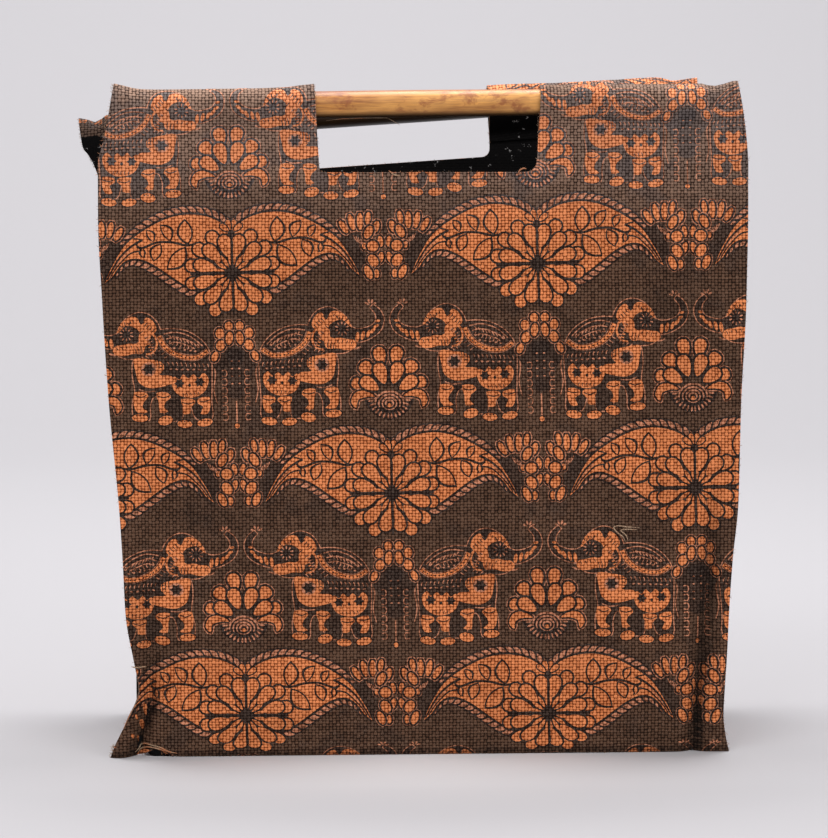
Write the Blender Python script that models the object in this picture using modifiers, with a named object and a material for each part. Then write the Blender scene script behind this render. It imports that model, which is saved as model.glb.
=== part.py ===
"""A printed burlap shopping bag that stands on its base.

Two cloth panels, each turned over a wooden dowel along its top, are joined by one gusset strip that
runs down the left side, across the base and up the right side. A hand hole is cut through the top of
each panel, so that the bare dowel is the handle. Metres, +Z up, +X to the right of the front panel,
the front panel faces -Y, and the origin is under the middle of the base.
"""

import math

import bmesh
import bpy
import numpy as np

MM = 0.001

# Driving sizes
CLOTH = 1.6 * MM  # burlap with its laminated inside
GAP = 0.3 * MM  # between pieces that touch
DOWEL_RADIUS = 8.0 * MM
DOWEL_LENGTH = 330.0 * MM
DOWEL_SIDES = 24
DOWEL_END_BEVEL = 1.2 * MM
FLOOR_GAP = 0.3 * MM  # the panels' cut edges clear the floor, and the base rests on it
HALF_HEIGHT = 200.0 * MM  # where the search for a point's place across a panel starts
GUSSET_TOP = 328.0 * MM  # the side gussets stop short of the handles
BASE_CORNER = 9.0 * MM  # bend of the gusset strip from its sides into the base
SEAM_REACH = 0.45 * MM  # room for the gusset's slanting edge against a panel
SLOPE_STEP = 1.8 * MM  # between the places where the panel's slope beside the strip is measured

# Casing: the panel's top as it goes round the dowel
CASING_RADIUS = DOWEL_RADIUS + GAP + CLOTH / 2
CASING_OFFSET = 4.0 * MM  # the dowel's axis lies this far inside the panel's plane
CASING_BELOW = 20.0 * MM  # the panel is plain up to this far below the dowel's axis
CASING_FLAT = 0.38  # how round the casing is left beyond the dowel's ends
FLATTEN_PAST = 4.0 * MM  # it starts to lie flat this far past the dowel's end
FLATTEN_OVER = 9.0 * MM
STRAIGHTEN_OVER = 45.0 * MM  # the panel's plane comes into line with its dowel over this height
ARC_STEP = 20.0  # degrees between the casing's rows
CASING_TURN = (190.0, -10.0)  # degrees, from the outer face over the top to the inside
# From the dowel's axis, inward and up: where the casing starts, and the rest of the hem in the bag
CASING_START = (-1.2, -12.5)
HEM_END = ((10.6, -8.0), (6.4, -13.5), (3.0, -18.0), (2.2, -23.0))

# Outline of each panel: height, left edge, right edge
FRONT_EDGES = (
    (0.0, -184.5, 181.0),
    (9.0, -181.0, 179.5),
    (22.0, -176.0, 178.5),
    (40.0, -170.5, 179.5),
    (58.0, -173.5, 180.5),
    (85.0, -178.0, 181.5),
    (117.0, -179.5, 183.5),
    (150.0, -181.5, 186.5),
    (212.0, -187.0, 188.0),
    (271.0, -190.5, 191.0),
    (320.0, -192.6, 192.0),
    (350.0, -192.6, 192.0),
    (370.0, -188.2, 190.5),
    (400.0, -182.8, 185.5),
)
BACK_EDGES = (
    (0.0, -175.0, 182.0),
    (60.0, -175.5, 181.0),
    (150.0, -183.5, 184.0),
    (250.0, -192.0, 183.5),
    (335.0, -195.5, 181.0),
    (347.0, -199.0, 180.5),
    (354.0, -202.5, 180.0),
    (359.0, -206.0, 179.5),
    (368.0, -207.5, 179.0),
    (377.0, -208.5, 178.5),
    (402.0, -208.5, 178.0),
)

# How far each panel's plane stands from the bag's middle: height, distance
FRONT_DEPTH = ((0.0, 73.0), (25.0, 73.5), (110.0, 75.5), (210.0, 74.0), (320.0, 68.0), (410.0, 65.0))
BACK_DEPTH = ((0.0, 73.0), (25.0, 73.5), (120.0, 78.0), (220.0, 77.0), (320.0, 69.5), (410.0, 65.0))

# Seam between panel and gusset, which pulls the panel in: height, place, pull, width
FRONT_LEFT_SEAM = (
    (0.0, -171.5, 6.0, 5.0),
    (14.0, -168.5, 8.5, 5.0),
    (32.0, -165.0, 6.5, 5.0),
    (60.0, -163.5, 3.5, 5.0),
    (117.0, -165.0, 2.6, 6.0),
    (170.0, -172.0, 0.8, 7.0),
    (260.0, -180.5, 0.0, 8.0),
    (345.0, -183.0, 0.0, 8.0),
)
FRONT_RIGHT_SEAM = (
    (0.0, 160.0, 4.5, 5.0),
    (20.0, 161.0, 5.5, 5.0),
    (60.0, 163.5, 5.0, 5.0),
    (93.0, 168.5, 4.5, 5.0),
    (130.0, 171.0, 3.0, 5.5),
    (180.0, 174.0, 0.6, 7.0),
    (260.0, 179.0, 0.0, 8.0),
    (345.0, 181.0, 0.0, 8.0),
)
BACK_LEFT_SEAM = (
    (0.0, -169.0, 4.0, 5.0),
    (60.0, -168.0, 3.5, 5.0),
    (140.0, -172.0, 2.0, 6.0),
    (240.0, -179.5, 0.0, 8.0),
    (345.0, -185.0, 0.0, 8.0),
)
BACK_RIGHT_SEAM = (
    (0.0, 161.0, 4.5, 5.0),
    (60.0, 164.0, 4.0, 5.0),
    (140.0, 170.0, 2.0, 6.0),
    (240.0, 173.0, 0.0, 8.0),
    (345.0, 170.0, 0.0, 8.0),
)

# Slack of the casing above the dowel, below zero where it sags past a dowel's end: place, slack
FRONT_SLACK = (
    (-187.0, 3.6),
    (-178.0, 2.0),
    (-168.0, 0.4),
    (-155.0, 0.0),
    (-100.0, 0.2),
    (-82.0, 0.8),
    (-66.0, 2.4),
    (68.0, 0.2),
    (150.0, 0.0),
    (164.0, 0.0),
    (170.0, -1.6),
    (175.0, -1.0),
    (182.0, 1.2),
    (187.0, 1.6),
)
BACK_SLACK = (
    (-207.0, -0.8),
    (-203.0, -2.0),
    (-197.0, -4.0),
    (-190.0, 0.3),
    (-120.0, 0.0),
    (-60.0, 0.4),
    (48.0, 2.2),
    (100.0, 0.6),
    (152.0, 0.0),
    (164.0, -3.0),
    (171.0, -2.4),
    (178.0, -2.0),
)

# Main folds: from and to (place, height), half width, depth inward
HEM_FOLD = (-196.0, 341.0, 196.0, 339.0, 3.2, 1.1)
FRONT_FOLDS = (
    HEM_FOLD,
    (-178.5, 26.0, -182.0, 4.0, 6.0, -4.0),
    (174.0, 95.0, 173.0, 20.0, 5.0, -1.2),
    (-120.0, 300.0, 40.0, 226.0, 26.0, 1.2),
    (60.0, 318.0, 170.0, 292.0, 22.0, 1.4),
    (90.0, 205.0, 165.0, 150.0, 20.0, -1.3),
    (-150.0, 150.0, -60.0, 132.0, 18.0, 1.2),
)
BACK_FOLDS = (
    HEM_FOLD,
    (-130.0, 270.0, 30.0, 300.0, 26.0, 1.6),
    (40.0, 170.0, 150.0, 215.0, 24.0, -1.6),
    (-140.0, 110.0, -20.0, 140.0, 22.0, 1.4),
)

# The lower edge lifts in an arch beside the left corner: place, half width, height
FRONT_LIFT = (-160.5, 6.5, 4.2)
BACK_LIFT = (166.0, 6.0, 2.0)

# Dowel: place of its middle, height of its axis there, rise per metre to the right
FRONT_DOWEL = (-4.0, 387.5, 10.5)
BACK_DOWEL = (-16.0, 380.8, 68.0)

# Hand hole: left and right at the lower edge, lower edge's height, widening on each side towards
# the top, corner radii
FRONT_HOLE = (-62.2, 66.2, 347.2, 4.6, 3.0, 2.0, 6.5)
BACK_HOLE = (-75.0, 48.4, 348.6, 4.0, 1.4, 4.0, 5.0)
HOLE_TALL = 75.0 * MM
HOLE_DEEP = 60.0 * MM
HOLE_CORNER_SEGMENTS = 4

# Gusset: how far its middle folds in between the panels: height, left, right
GUSSET_FOLD = (
    (0.0, 1.5, 1.5),
    (12.0, 4.0, 3.0),
    (50.0, 13.0, 9.0),
    (130.0, 24.0, 17.0),
    (240.0, 29.0, 22.0),
    (328.0, 27.0, 20.0),
)
GUSSET_FOLD_POWER = 1.4  # how blunt the fold is across the strip
GUSSET_CROSS = (-1.0, -0.72, -0.42, -0.18, 0.0, 0.18, 0.42, 0.72, 1.0)
GUSSET_SIDE_ROWS = 15
GUSSET_BASE_ROWS = 13
GUSSET_BEND_ROWS = 4

# Rows of a panel, as a share of its plain height, and columns, as a share of its width
PANEL_ROWS = (0.0, 0.012, 0.027, 0.045, 0.068, 0.095, 0.13, 0.18, 0.235, 0.3, 0.37, 0.44, 0.51, 0.58,
              0.65, 0.72, 0.785, 0.84, 0.885, 0.904, 0.918, 0.932, 0.946, 0.972, 1.0)
PANEL_COLUMNS = (0.0, 0.012, 0.026, 0.038, 0.05, 0.063, 0.08, 0.105, 0.14, 0.19, 0.25, 0.31, 0.37, 0.43,
                 0.5, 0.57, 0.63, 0.69, 0.75, 0.81, 0.86, 0.895, 0.92, 0.937, 0.95, 0.962, 0.974, 0.988, 1.0)

# The tables are measured from the middle of the front panel, and the origin is under the middle of
# the whole bag
MIDDLE = (8.2 * MM, -1.2 * MM, 0.0)

PRINTED_BURLAP = (0.30, 0.15, 0.09, 1.0)
WOOD = (0.52, 0.27, 0.11, 1.0)


def smooth(rows, at, column=1):
    """Reads a table of millimetres on a curve through its rows that never overshoots, in metres."""
    xs = np.array([r[0] for r in rows]) * MM
    ys = np.array([r[column] for r in rows]) * MM
    rise = np.diff(ys) / np.diff(xs)
    slopes = np.zeros(len(xs))
    slopes[0], slopes[-1] = rise[0], rise[-1]
    for i in range(1, len(xs) - 1):
        if rise[i - 1] * rise[i] > 0:
            slopes[i] = 2 * rise[i - 1] * rise[i] / (rise[i - 1] + rise[i])
    x = float(np.clip(at, xs[0], xs[-1]))
    i = int(np.clip(np.searchsorted(xs, x) - 1, 0, len(xs) - 2))
    span = xs[i + 1] - xs[i]
    t = (x - xs[i]) / span
    start, end = (1 + 2 * t) * (1 - t) ** 2, t * t * (3 - 2 * t)
    leave, arrive = t * (1 - t) ** 2, t * t * (t - 1)
    return start * ys[i] + end * ys[i + 1] + span * (leave * slopes[i] + arrive * slopes[i + 1])


def soft_step(t):
    t = min(max(t, 0.0), 1.0)
    return t * t * (3 - 2 * t)


class Panel:
    """One panel's mid surface; side is -1 for the front and +1 for the back."""

    def __init__(self, side, edges, depth, seams, slack, folds, lift, dowel, hole):
        self.side = side
        self.edges = edges
        self.depth = depth
        self.seams = seams
        self.slack = slack
        self.folds = folds
        self.lift = lift
        self.dowel = dowel
        self.hole = hole

    def dowel_axis(self, x):
        middle, height, rise = self.dowel
        return height * MM + rise * MM * (x - middle * MM)

    def seam(self, left, z):
        """The gusset's seam at a height: its place, its pull and its width."""
        rows = self.seams[0 if left else 1]
        return smooth(rows, z), smooth(rows, z, 2), smooth(rows, z, 3)

    def standoff(self, x, z):
        """How far the panel's mid surface stands from the bag's middle plane."""
        out = smooth(self.depth, z)
        for left in (True, False):
            place, pull, width = self.seam(left, z)
            out -= pull * math.exp(-(((x - place) / width) ** 2))
        for x0, z0, x1, z1, width, deep in self.folds:
            along = np.array((x1 - x0, z1 - z0)) * MM
            t = float(np.dot((x - x0 * MM, z - z0 * MM), along) / np.dot(along, along))
            nearest = np.array((x0, z0)) * MM + min(max(t, 0.0), 1.0) * along
            away = math.hypot(x - nearest[0], z - nearest[1]) / (width * MM)
            out -= deep * MM * math.exp(-away * away)
        below = self.dowel_axis(x) - CASING_BELOW - z
        straight = soft_step(1 - below / STRAIGHTEN_OVER)
        return out + (self.casing_standoff() - out) * straight

    def casing_standoff(self):
        """The panel's plane at its casing, which is as straight as the dowel."""
        return smooth(self.depth, self.dowel[1] * MM - CASING_BELOW)

    def floor_edge(self, x):
        place, width, height = self.lift
        return FLOOR_GAP + height * MM * math.exp(-(((x - place * MM) / (width * MM)) ** 2))

    def roundness(self, x):
        """1 over the dowel, and less past its ends, where the casing lies flatter."""
        past = abs(x - self.dowel[0] * MM) - DOWEL_LENGTH / 2 - FLATTEN_PAST
        return 1 - (1 - CASING_FLAT) * soft_step(past / FLATTEN_OVER)

    def plain_point(self, across, up):
        """A point below the casing, from shares of the panel's width and plain height."""
        left, right = smooth(self.edges, HALF_HEIGHT), smooth(self.edges, HALF_HEIGHT, 2)
        x = left + (right - left) * across
        for _ in range(3):
            top = self.dowel_axis(x) - CASING_BELOW
            z = self.floor_edge(x) * (1 - up) + top * up
            left, right = smooth(self.edges, z), smooth(self.edges, z, 2)
            x = left + (right - left) * across
        return x, self.side * self.standoff(x, z), z

    def casing_point(self, across, inward, up):
        """A point of the casing, given inward from the panel's plane and up from the dowel's axis."""
        x = self.plain_point(across, 1.0)[0]
        for _ in range(2):
            z = self.dowel_axis(x) + up
            left, right = smooth(self.edges, z), smooth(self.edges, z, 2)
            x = left + (right - left) * across
        if up > 0:
            up *= (CASING_RADIUS + smooth(self.slack, x)) / CASING_RADIUS
        inward *= self.roundness(x)
        return x, self.side * (self.casing_standoff() - inward), self.dowel_axis(x) + up


def casing_profile():
    """The casing's section: inward from the panel's plane, up from the dowel's axis."""
    radius = CASING_RADIUS / math.cos(math.radians(ARC_STEP / 2))
    points = [(CASING_START[0] * MM, CASING_START[1] * MM)]
    turn, last = CASING_TURN
    while turn >= last:
        a = math.radians(turn)
        points.append((CASING_OFFSET + radius * math.cos(a), radius * math.sin(a)))
        turn -= ARC_STEP
    return points + [(inward * MM, up * MM) for inward, up in HEM_END]


def material(name, colour, roughness):
    m = bpy.data.materials.new(name)
    m.use_nodes = True
    shader = m.node_tree.nodes["Principled BSDF"]
    shader.inputs["Base Color"].default_value = colour
    shader.inputs["Roughness"].default_value = roughness
    return m


def sheet(name, rows, columns, place, collection):
    """A cloth sheet: a grid whose points are moved onto place(row, column), then thickened."""
    bm = bmesh.new()
    bmesh.ops.create_grid(bm, x_segments=columns - 1, y_segments=rows - 1, size=1.0)
    for v in bm.verts:
        column = round((v.co.x + 1) / 2 * (columns - 1))
        row = round((v.co.y + 1) / 2 * (rows - 1))
        v.co = place(row, column)
    mesh = bpy.data.meshes.new(name)
    bm.to_mesh(mesh)
    bm.free()
    mesh.shade_smooth()
    obj = bpy.data.objects.new(name, mesh)
    collection.objects.link(obj)
    solid = obj.modifiers.new("Cloth", "SOLIDIFY")
    solid.thickness = CLOTH
    solid.offset = 0.0
    solid.use_even_offset = True
    return obj


def hole_cutter(name, panel, collection):
    """A block with rounded lower corners that cuts the hand hole, open at the top."""
    left, right, low, widen_left, widen_right, radius_left, radius_right = (v * MM for v in panel.hole)
    middle = (left + right) / 2
    bm = bmesh.new()
    bmesh.ops.create_cube(bm, size=1.0)
    for v in bm.verts:
        up = v.co.z > 0
        edge = left - middle if v.co.x < 0 else right - middle
        widen = (-widen_left if v.co.x < 0 else widen_right) if up else 0.0
        v.co = (edge + widen, v.co.y * HOLE_DEEP, HOLE_TALL if up else 0.0)
    for at, radius in ((left - middle, radius_left), (right - middle, radius_right)):
        corner = [e for e in bm.edges if all(abs(v.co.x - at) < GAP and v.co.z < GAP for v in e.verts)]
        bmesh.ops.bevel(bm, geom=corner, offset=radius, segments=HOLE_CORNER_SEGMENTS, profile=0.5,
                        affect="EDGES")
    mesh = bpy.data.meshes.new(name)
    bm.to_mesh(mesh)
    bm.free()
    obj = bpy.data.objects.new(name, mesh)
    collection.objects.link(obj)
    obj.location = (middle, panel.side * smooth(panel.depth, low), low)
    obj.rotation_euler = (0.0, -math.atan(panel.dowel[2] * MM) if panel.side > 0 else 0.0, 0.0)
    obj.hide_render = True
    obj.display_type = "WIRE"
    return obj


def make_panel(name, panel, burlap, parts, cutters):
    profile = casing_profile()
    plain = len(PANEL_ROWS)

    def place(row, column):
        across = PANEL_COLUMNS[column]
        if row < plain:
            return panel.plain_point(across, PANEL_ROWS[row])
        return panel.casing_point(across, *profile[row - plain])

    obj = sheet(name, plain + len(profile), len(PANEL_COLUMNS), place, parts)
    obj.data.materials.append(burlap)
    cut = obj.modifiers.new("Hand hole", "BOOLEAN")
    cut.operation = "DIFFERENCE"
    cut.solver = "EXACT"
    cut.object = hole_cutter(name + "_hole", panel, cutters)
    return obj


def gusset_path():
    """The strip's stations: side (-1 left, 0 base, +1 right), and a height, bend angle or share."""
    heights = np.linspace(GUSSET_TOP, BASE_CORNER + CLOTH / 2, GUSSET_SIDE_ROWS)
    bends = np.linspace(0, math.pi / 2, GUSSET_BEND_ROWS + 2)[1:-1]
    shares = np.linspace(0, 1, GUSSET_BASE_ROWS)
    path = [(-1, "side", z) for z in heights] + [(-1, "bend", a) for a in bends]
    path += [(0, "base", s) for s in shares]
    return path + [(1, "bend", a) for a in bends[::-1]] + [(1, "side", z) for z in heights[::-1]]


def make_gusset(front, back, burlap, parts):
    path = gusset_path()
    cross = GUSSET_CROSS

    def inner_face(panel, x, z):
        """How far from the bag's middle plane the strip may reach on a panel's side."""
        beside = [panel.standoff(x + step * SLOPE_STEP, z) for step in (-2, -1, 0, 1, 2)]
        steepest = max(abs(b - a) for a, b in zip(beside, beside[1:])) / SLOPE_STEP
        return beside[2] - CLOTH / 2 * math.hypot(1, steepest) - GAP - SEAM_REACH

    def between(x, z, q):
        """y at share q from the front panel (-1) to the back panel (+1)."""
        near, far = -inner_face(front, x[0], z), inner_face(back, x[1], z)
        return near + (far - near) * (q + 1) / 2

    def wall(side, z, q):
        """x of the strip's side wall, on the seams at its edges and folded in between them."""
        left = side < 0
        ends = (front.seam(left, z)[0], back.seam(left, z)[0])
        seam = ends[0] + (ends[1] - ends[0]) * (q + 1) / 2
        fold = smooth(GUSSET_FOLD, z, 1 if left else 2) * (1 - abs(q) ** GUSSET_FOLD_POWER)
        return seam - side * fold, ends

    def place(row, column):
        side, kind, value = path[row]
        q = cross[column]
        low = BASE_CORNER + CLOTH / 2
        if kind == "side":
            x, ends = wall(side, value, q)
            return x, between(ends, value, q), value
        if kind == "bend":
            x, ends = wall(side, low, q)
            z = low - BASE_CORNER * math.sin(value)
            x -= side * BASE_CORNER * (1 - math.cos(value))
            return x, between((x, x), z, q), z
        left = wall(-1, low, q)[0] + BASE_CORNER
        right = wall(1, low, q)[0] - BASE_CORNER
        x = left + (right - left) * value
        return x, between((x, x), CLOTH / 2, q), CLOTH / 2

    obj = sheet("gusset", len(path), len(cross), place, parts)
    obj.data.materials.append(burlap)
    return obj


def make_dowel(name, panel, wood, parts):
    middle, height, rise = (v * MM for v in panel.dowel)
    inside = panel.casing_standoff() - CASING_OFFSET
    bpy.ops.mesh.primitive_cylinder_add(
        vertices=DOWEL_SIDES,
        radius=DOWEL_RADIUS,
        depth=DOWEL_LENGTH,
        location=(middle, panel.side * inside, height),
        rotation=(0.0, math.pi / 2 - math.atan(rise), 0.0),
    )
    obj = bpy.context.object
    obj.name = name
    obj.data.name = name
    for other in obj.users_collection:
        other.objects.unlink(obj)
    parts.objects.link(obj)
    obj.data.shade_smooth()
    obj.data.materials.append(wood)
    bevel = obj.modifiers.new("Rounded ends", "BEVEL")
    bevel.width = DOWEL_END_BEVEL
    bevel.segments = 2
    bevel.limit_method = "ANGLE"
    return obj


def main():
    for old in list(bpy.data.objects):
        bpy.data.objects.remove(old, do_unlink=True)
    parts = bpy.data.collections.new("Burlap bag")
    cutters = bpy.data.collections.new("Cutters")
    bpy.context.scene.collection.children.link(parts)
    bpy.context.scene.collection.children.link(cutters)
    burlap = material("Printed burlap", PRINTED_BURLAP, 0.9)
    wood = material("Dowel wood", WOOD, 0.5)

    front = Panel(-1, FRONT_EDGES, FRONT_DEPTH, (FRONT_LEFT_SEAM, FRONT_RIGHT_SEAM), FRONT_SLACK,
                  FRONT_FOLDS, FRONT_LIFT, FRONT_DOWEL, FRONT_HOLE)
    back = Panel(1, BACK_EDGES, BACK_DEPTH, (BACK_LEFT_SEAM, BACK_RIGHT_SEAM), BACK_SLACK,
                 BACK_FOLDS, BACK_LIFT, BACK_DOWEL, BACK_HOLE)
    make_panel("panel_front", front, burlap, parts, cutters)
    make_panel("panel_back", back, burlap, parts, cutters)
    make_gusset(front, back, burlap, parts)
    make_dowel("dowel_front", front, wood, parts)
    make_dowel("dowel_back", back, wood, parts)

    middle = bpy.data.objects.new("Bag", None)
    middle.location = MIDDLE
    parts.objects.link(middle)
    for obj in [*parts.objects, *cutters.objects]:
        if obj is not middle:
            obj.parent = middle


main()
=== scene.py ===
"""A printed burlap shopping bag with a wooden dowel across a hand hole in each face.

Each cloth piece is one sheet that is laid out flat, in millimetres across and along the cloth, cut to
its outline, printed with the block-print repeat, and then carried onto the shape in which it stands.
"""

import math

import bpy
import numpy as np
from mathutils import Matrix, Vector
from mathutils.geometry import delaunay_2d_cdt


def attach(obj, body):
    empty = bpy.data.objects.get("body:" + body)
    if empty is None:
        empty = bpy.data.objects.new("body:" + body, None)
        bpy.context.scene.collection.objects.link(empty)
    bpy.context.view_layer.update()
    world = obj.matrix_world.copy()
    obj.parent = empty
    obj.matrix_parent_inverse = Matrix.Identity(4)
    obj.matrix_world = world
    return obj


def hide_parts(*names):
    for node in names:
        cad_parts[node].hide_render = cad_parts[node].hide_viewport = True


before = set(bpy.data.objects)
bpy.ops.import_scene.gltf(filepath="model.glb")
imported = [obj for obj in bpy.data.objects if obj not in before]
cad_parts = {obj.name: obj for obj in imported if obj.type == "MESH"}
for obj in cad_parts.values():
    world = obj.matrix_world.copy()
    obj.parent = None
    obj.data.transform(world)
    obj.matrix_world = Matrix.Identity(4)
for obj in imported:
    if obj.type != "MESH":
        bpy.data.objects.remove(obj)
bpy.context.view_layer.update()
rng = np.random.default_rng(7)

MM = 0.001

# Sizes in millimetres. The cloth is laid out around a point on the floor, which is at MIDDLE in the frame
MIDDLE = (8.2, -1.2, 0)
CLOTH = 1.6
GAP = 0.3
FLOOR_GAP = 0.3
DOWEL_RADIUS = 8.0
DOWEL_LENGTH = 330.0
DOWEL_SIDES = 56
GUSSET_TOP = 328.0
BASE_CORNER = 9.0
SEAM_REACH = 0.45

# The casing: its round part around the dowel, how far below the axis it starts, how flat it is past the
# dowel's ends, and the turned-in end of its hem
CASING_RADIUS = DOWEL_RADIUS + GAP + CLOTH / 2 + 0.08
CASING_OFFSET = 4.0
CASING_BELOW = 20.0
CASING_FLAT = 0.38
FLATTEN_PAST = 4.0
FLATTEN_OVER = 9.0
STRAIGHTEN_OVER = 45.0
ARC_STEP = 20.0
CASING_TURN = (190, -10)
CASING_START = (-1.2, -12.5)
HEM_END = ((10.6, -8), (6.4, -13.5), (3, -18), (2.2, -23))

# Steps along a panel's edge, which are finer from the casing on, a height inside the casing, and how far
# short of the hem's end the outline stops
EDGE_STEP = 3.5
EDGE_FINE_FROM = 352.0
EDGE_TOP = 380.0
HEM_SHORT = 0.01

# Points of a flat cloth closer than this are one
MERGED_WITHIN = 0.004

# Outline of each panel: height, left edge, right edge
FRONT_EDGES = (
    (0, -187.5, 182.6), (9, -184, 180.5), (22, -178, 178.8), (40, -170.5, 179.5), (58, -173.5, 180.5),
    (85, -178, 181.5), (117, -179.5, 183.5), (150, -181.5, 186.5), (212, -187, 188), (271, -190.5, 191),
    (320, -192.6, 192), (350, -192.6, 192), (370, -188.2, 190.5), (400, -182.8, 185.5),
)
BACK_EDGES = (
    (0, -175, 182), (60, -175.5, 181), (150, -183.5, 184), (250, -192, 183.5), (335, -195.5, 181),
    (347, -199, 180.5), (354, -202.5, 180), (359, -206, 179.5), (368, -207.5, 179), (377, -208.5, 178.5),
    (402, -208.5, 178),
)

# How far each panel's plane stands from the bag's middle: height, distance
FRONT_DEPTH = ((0, 73), (25, 73.5), (110, 75.5), (210, 74), (320, 68), (410, 65))
BACK_DEPTH = ((0, 73), (25, 73.5), (120, 78), (220, 77), (320, 69.5), (410, 65))

# Seams, which pull the panels in: height, place, pull, width
FRONT_LEFT_SEAM = (
    (0, -171.5, 6, 5), (14, -168.5, 8.5, 5), (32, -165, 6.5, 5), (60, -163.5, 3.5, 5),
    (117, -165, 2.6, 6), (170, -172, 0.8, 7), (260, -180.5, 0, 8), (345, -183, 0, 8),
)
FRONT_RIGHT_SEAM = (
    (0, 160, 4.5, 5), (20, 161, 5.5, 5), (60, 163.5, 5, 5), (93, 168.5, 4.5, 5), (130, 171, 3, 5.5),
    (180, 174, 0.6, 7), (260, 179, 0, 8), (345, 181, 0, 8),
)
BACK_LEFT_SEAM = (
    (0, -169, 4, 5), (60, -168, 3.5, 5), (140, -172, 2, 6), (240, -179.5, 0, 8), (345, -185, 0, 8),
)
BACK_RIGHT_SEAM = (
    (0, 161, 4.5, 5), (60, 164, 4, 5), (140, 170, 2, 6), (240, 173, 0, 8), (345, 170, 0, 8),
)

# Slack of the casing above the dowel: place, slack
FRONT_SLACK = (
    (-187, 4.9), (-178, 2.7), (-168, 0.4), (-155, 0), (-100, 0.2), (-82, 0.8), (-66, 2.4), (68, 0.2),
    (150, 0), (164, 0), (170, -1.6), (175, -1), (182, 1.2), (187, 1.6),
)
BACK_SLACK = (
    (-207, -0.8), (-203, -2), (-197, -4), (-190, 0.3), (-120, 0), (-60, 0.4), (48, 2.2), (100, 0.6),
    (152, 0), (164, -3), (171, -2.4), (178, -2),
)

# Main folds: from and to (place, height), half width, depth inward
HEM_FOLD = (-196, 341, 196, 339, 3.2, 1.1)
FRONT_FOLDS = (
    HEM_FOLD, (-178.5, 26, -182, 4, 6, -4), (174, 95, 173, 20, 5, -1.2), (-120, 300, 40, 226, 26, 1.2),
    (60, 318, 170, 292, 22, 1.4), (90, 205, 165, 150, 20, -1.3), (-150, 150, -60, 132, 18, 1.2),
)
BACK_FOLDS = (
    HEM_FOLD, (-130, 270, 30, 300, 26, 1.6), (40, 170, 150, 215, 24, -1.6),
    (-140, 110, -20, 140, 22, 1.4),
)

# The lower edge lifts in an arch beside one corner: place, half width, height
FRONT_LIFT = (-160.5, 6.5, 4.2)
BACK_LIFT = (166, 6, 2)

# Dowel: place of its middle, height of its axis there, rise per millimetre to the right
FRONT_DOWEL = (-4, 387.5, 0.0105)
BACK_DOWEL = (-16, 380.8, 0.068)

# Hand hole: left and right at the lower edge, its height, widening on each side over HOLE_TALL, radii
FRONT_HOLE = (-62.2, 66.2, 347.2, 4.6, 3, 2, 6.5)
BACK_HOLE = (-75, 48.4, 348.6, 4, 1.4, 4, 5)
HOLE_TALL = 75.0

# How far the gusset's middle folds in: height, left, right
GUSSET_FOLD = (
    (0, 1.5, 1.5), (12, 4, 3), (50, 13, 9), (130, 24, 17), (240, 29, 22), (328, 27, 20),
)
GUSSET_FOLD_POWER = 1.4
GUSSET_WIDTH = 146.0

# The print's repeat is drawn in units of PRINT_UNIT, and lies a little askew on the cloth
PRINT_UNIT = 0.594
PRINT_LEAN = -0.0266
PRINT_TILT = 0.0133
PRINT_SHEAR = 0.000065
REPEAT_WIDE = 304
REPEAT_TALL = 224

# How far from its daisy's centre one motif may reach
REACH_ASIDE = 190
REACH_UP = 200
REACH_DOWN = 165

# The place of one printed flower on each flat cloth
PRINT_ON_FRONT = (-20, 157.5)
PRINT_ON_BACK = (24, 121)
PRINT_ON_GUSSET = (8, 150)

# The print is squeezed on the lowest part of a panel: its height and the share that is left
PRESSED_BELOW = 11.0
PRESSED_TO = 0.68

# From how far past the plain panel the hem's outer face is film
FILM_FROM = 52.0

# The casing's far left end, left of FLAP: from how far past the plain panel it is bare, in painted shade
# and mottled
FLAP = -186.0
FLAP_BARE_FROM = 31.0
FLAP_SHADED_FROM = 32.0
FLAP_SHADE = 0.54
FLAP_MOTTLED = (30, 42)

# Weave: millimetres a thread across and along, and how far the threads wander, in metres
WARP_PITCH = 2.05
WEFT_PITCH = 1.75
YARN_WANDER = 0.0016

# How much orange, black and pale ink each print colour lays down
GROUND, ORANGE, BLACK, PALE, DUSK = range(5)
INK_COVER = ((0, 0, 0), (1, 0, 0), (0, 1, 0), (0, 0, 1), (0, 0.7, 0))

# Radius of a loose yarn and of a hanging thread; fibres grow on outline edges shorter than LONGEST_EDGE
PULLED_RADIUS = 0.42
HANGING_RADIUS = 0.22
LONGEST_EDGE = 20

# Loose yarn ends on the front panel: points across, along and lifted off the cloth
PULLED_YARNS = (
    ((119, 127.6, 0.1), (117.6, 130.5, 1.3), (113.4, 134, 1.9), (111.8, 136.4, 1.4), (114.6, 137.4, 1.9),
     (121, 136.6, 1.6), (127.6, 136, 0.1)),
    ((120.6, 128.2, 0.1), (119.4, 131.4, 1.5), (116, 134.6, 1.8), (119.5, 135.3, 1.7), (126, 134.8, 0.1)),
    ((-21.5, 348.2, 0.1), (-18, 345.6, 0.7), (-14.5, 345, 0.1)),
    ((-175, 54.8, 0.1), (-171.5, 54.3, 0.7), (-168.5, 54.6, 0.7), (-166.5, 54.4, 0.1)),
    ((55, 346.2, 0.1), (56.2, 348.4, 0.9), (58.6, 349.4, 0.8), (60, 349, 0.4)),
)

# A fine thread that hangs under the front dowel: x, y and z
HANGING_THREAD = (
    (-58, -57, 377.4), (-48, -56, 378.4), (-34, -57, 378.9), (-22, -58, 379), (-18.5, -58.5, 377.2),
    (-14.5, -59, 374.8),
)

# Bits of print on the flared corner: place across and along, half sizes, turn
CORNER_PRINT = (
    (-167.2, 28, 1.5, 4.2, 14), (-169.4, 19, 1.5, 3.6, 14), (-175, 13, 0.9, 1.6, 20),
    (-171.8, 10.5, 0.8, 2.4, 18), (-172.6, 24.5, 0.7, 1.8, 16),
)
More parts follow.
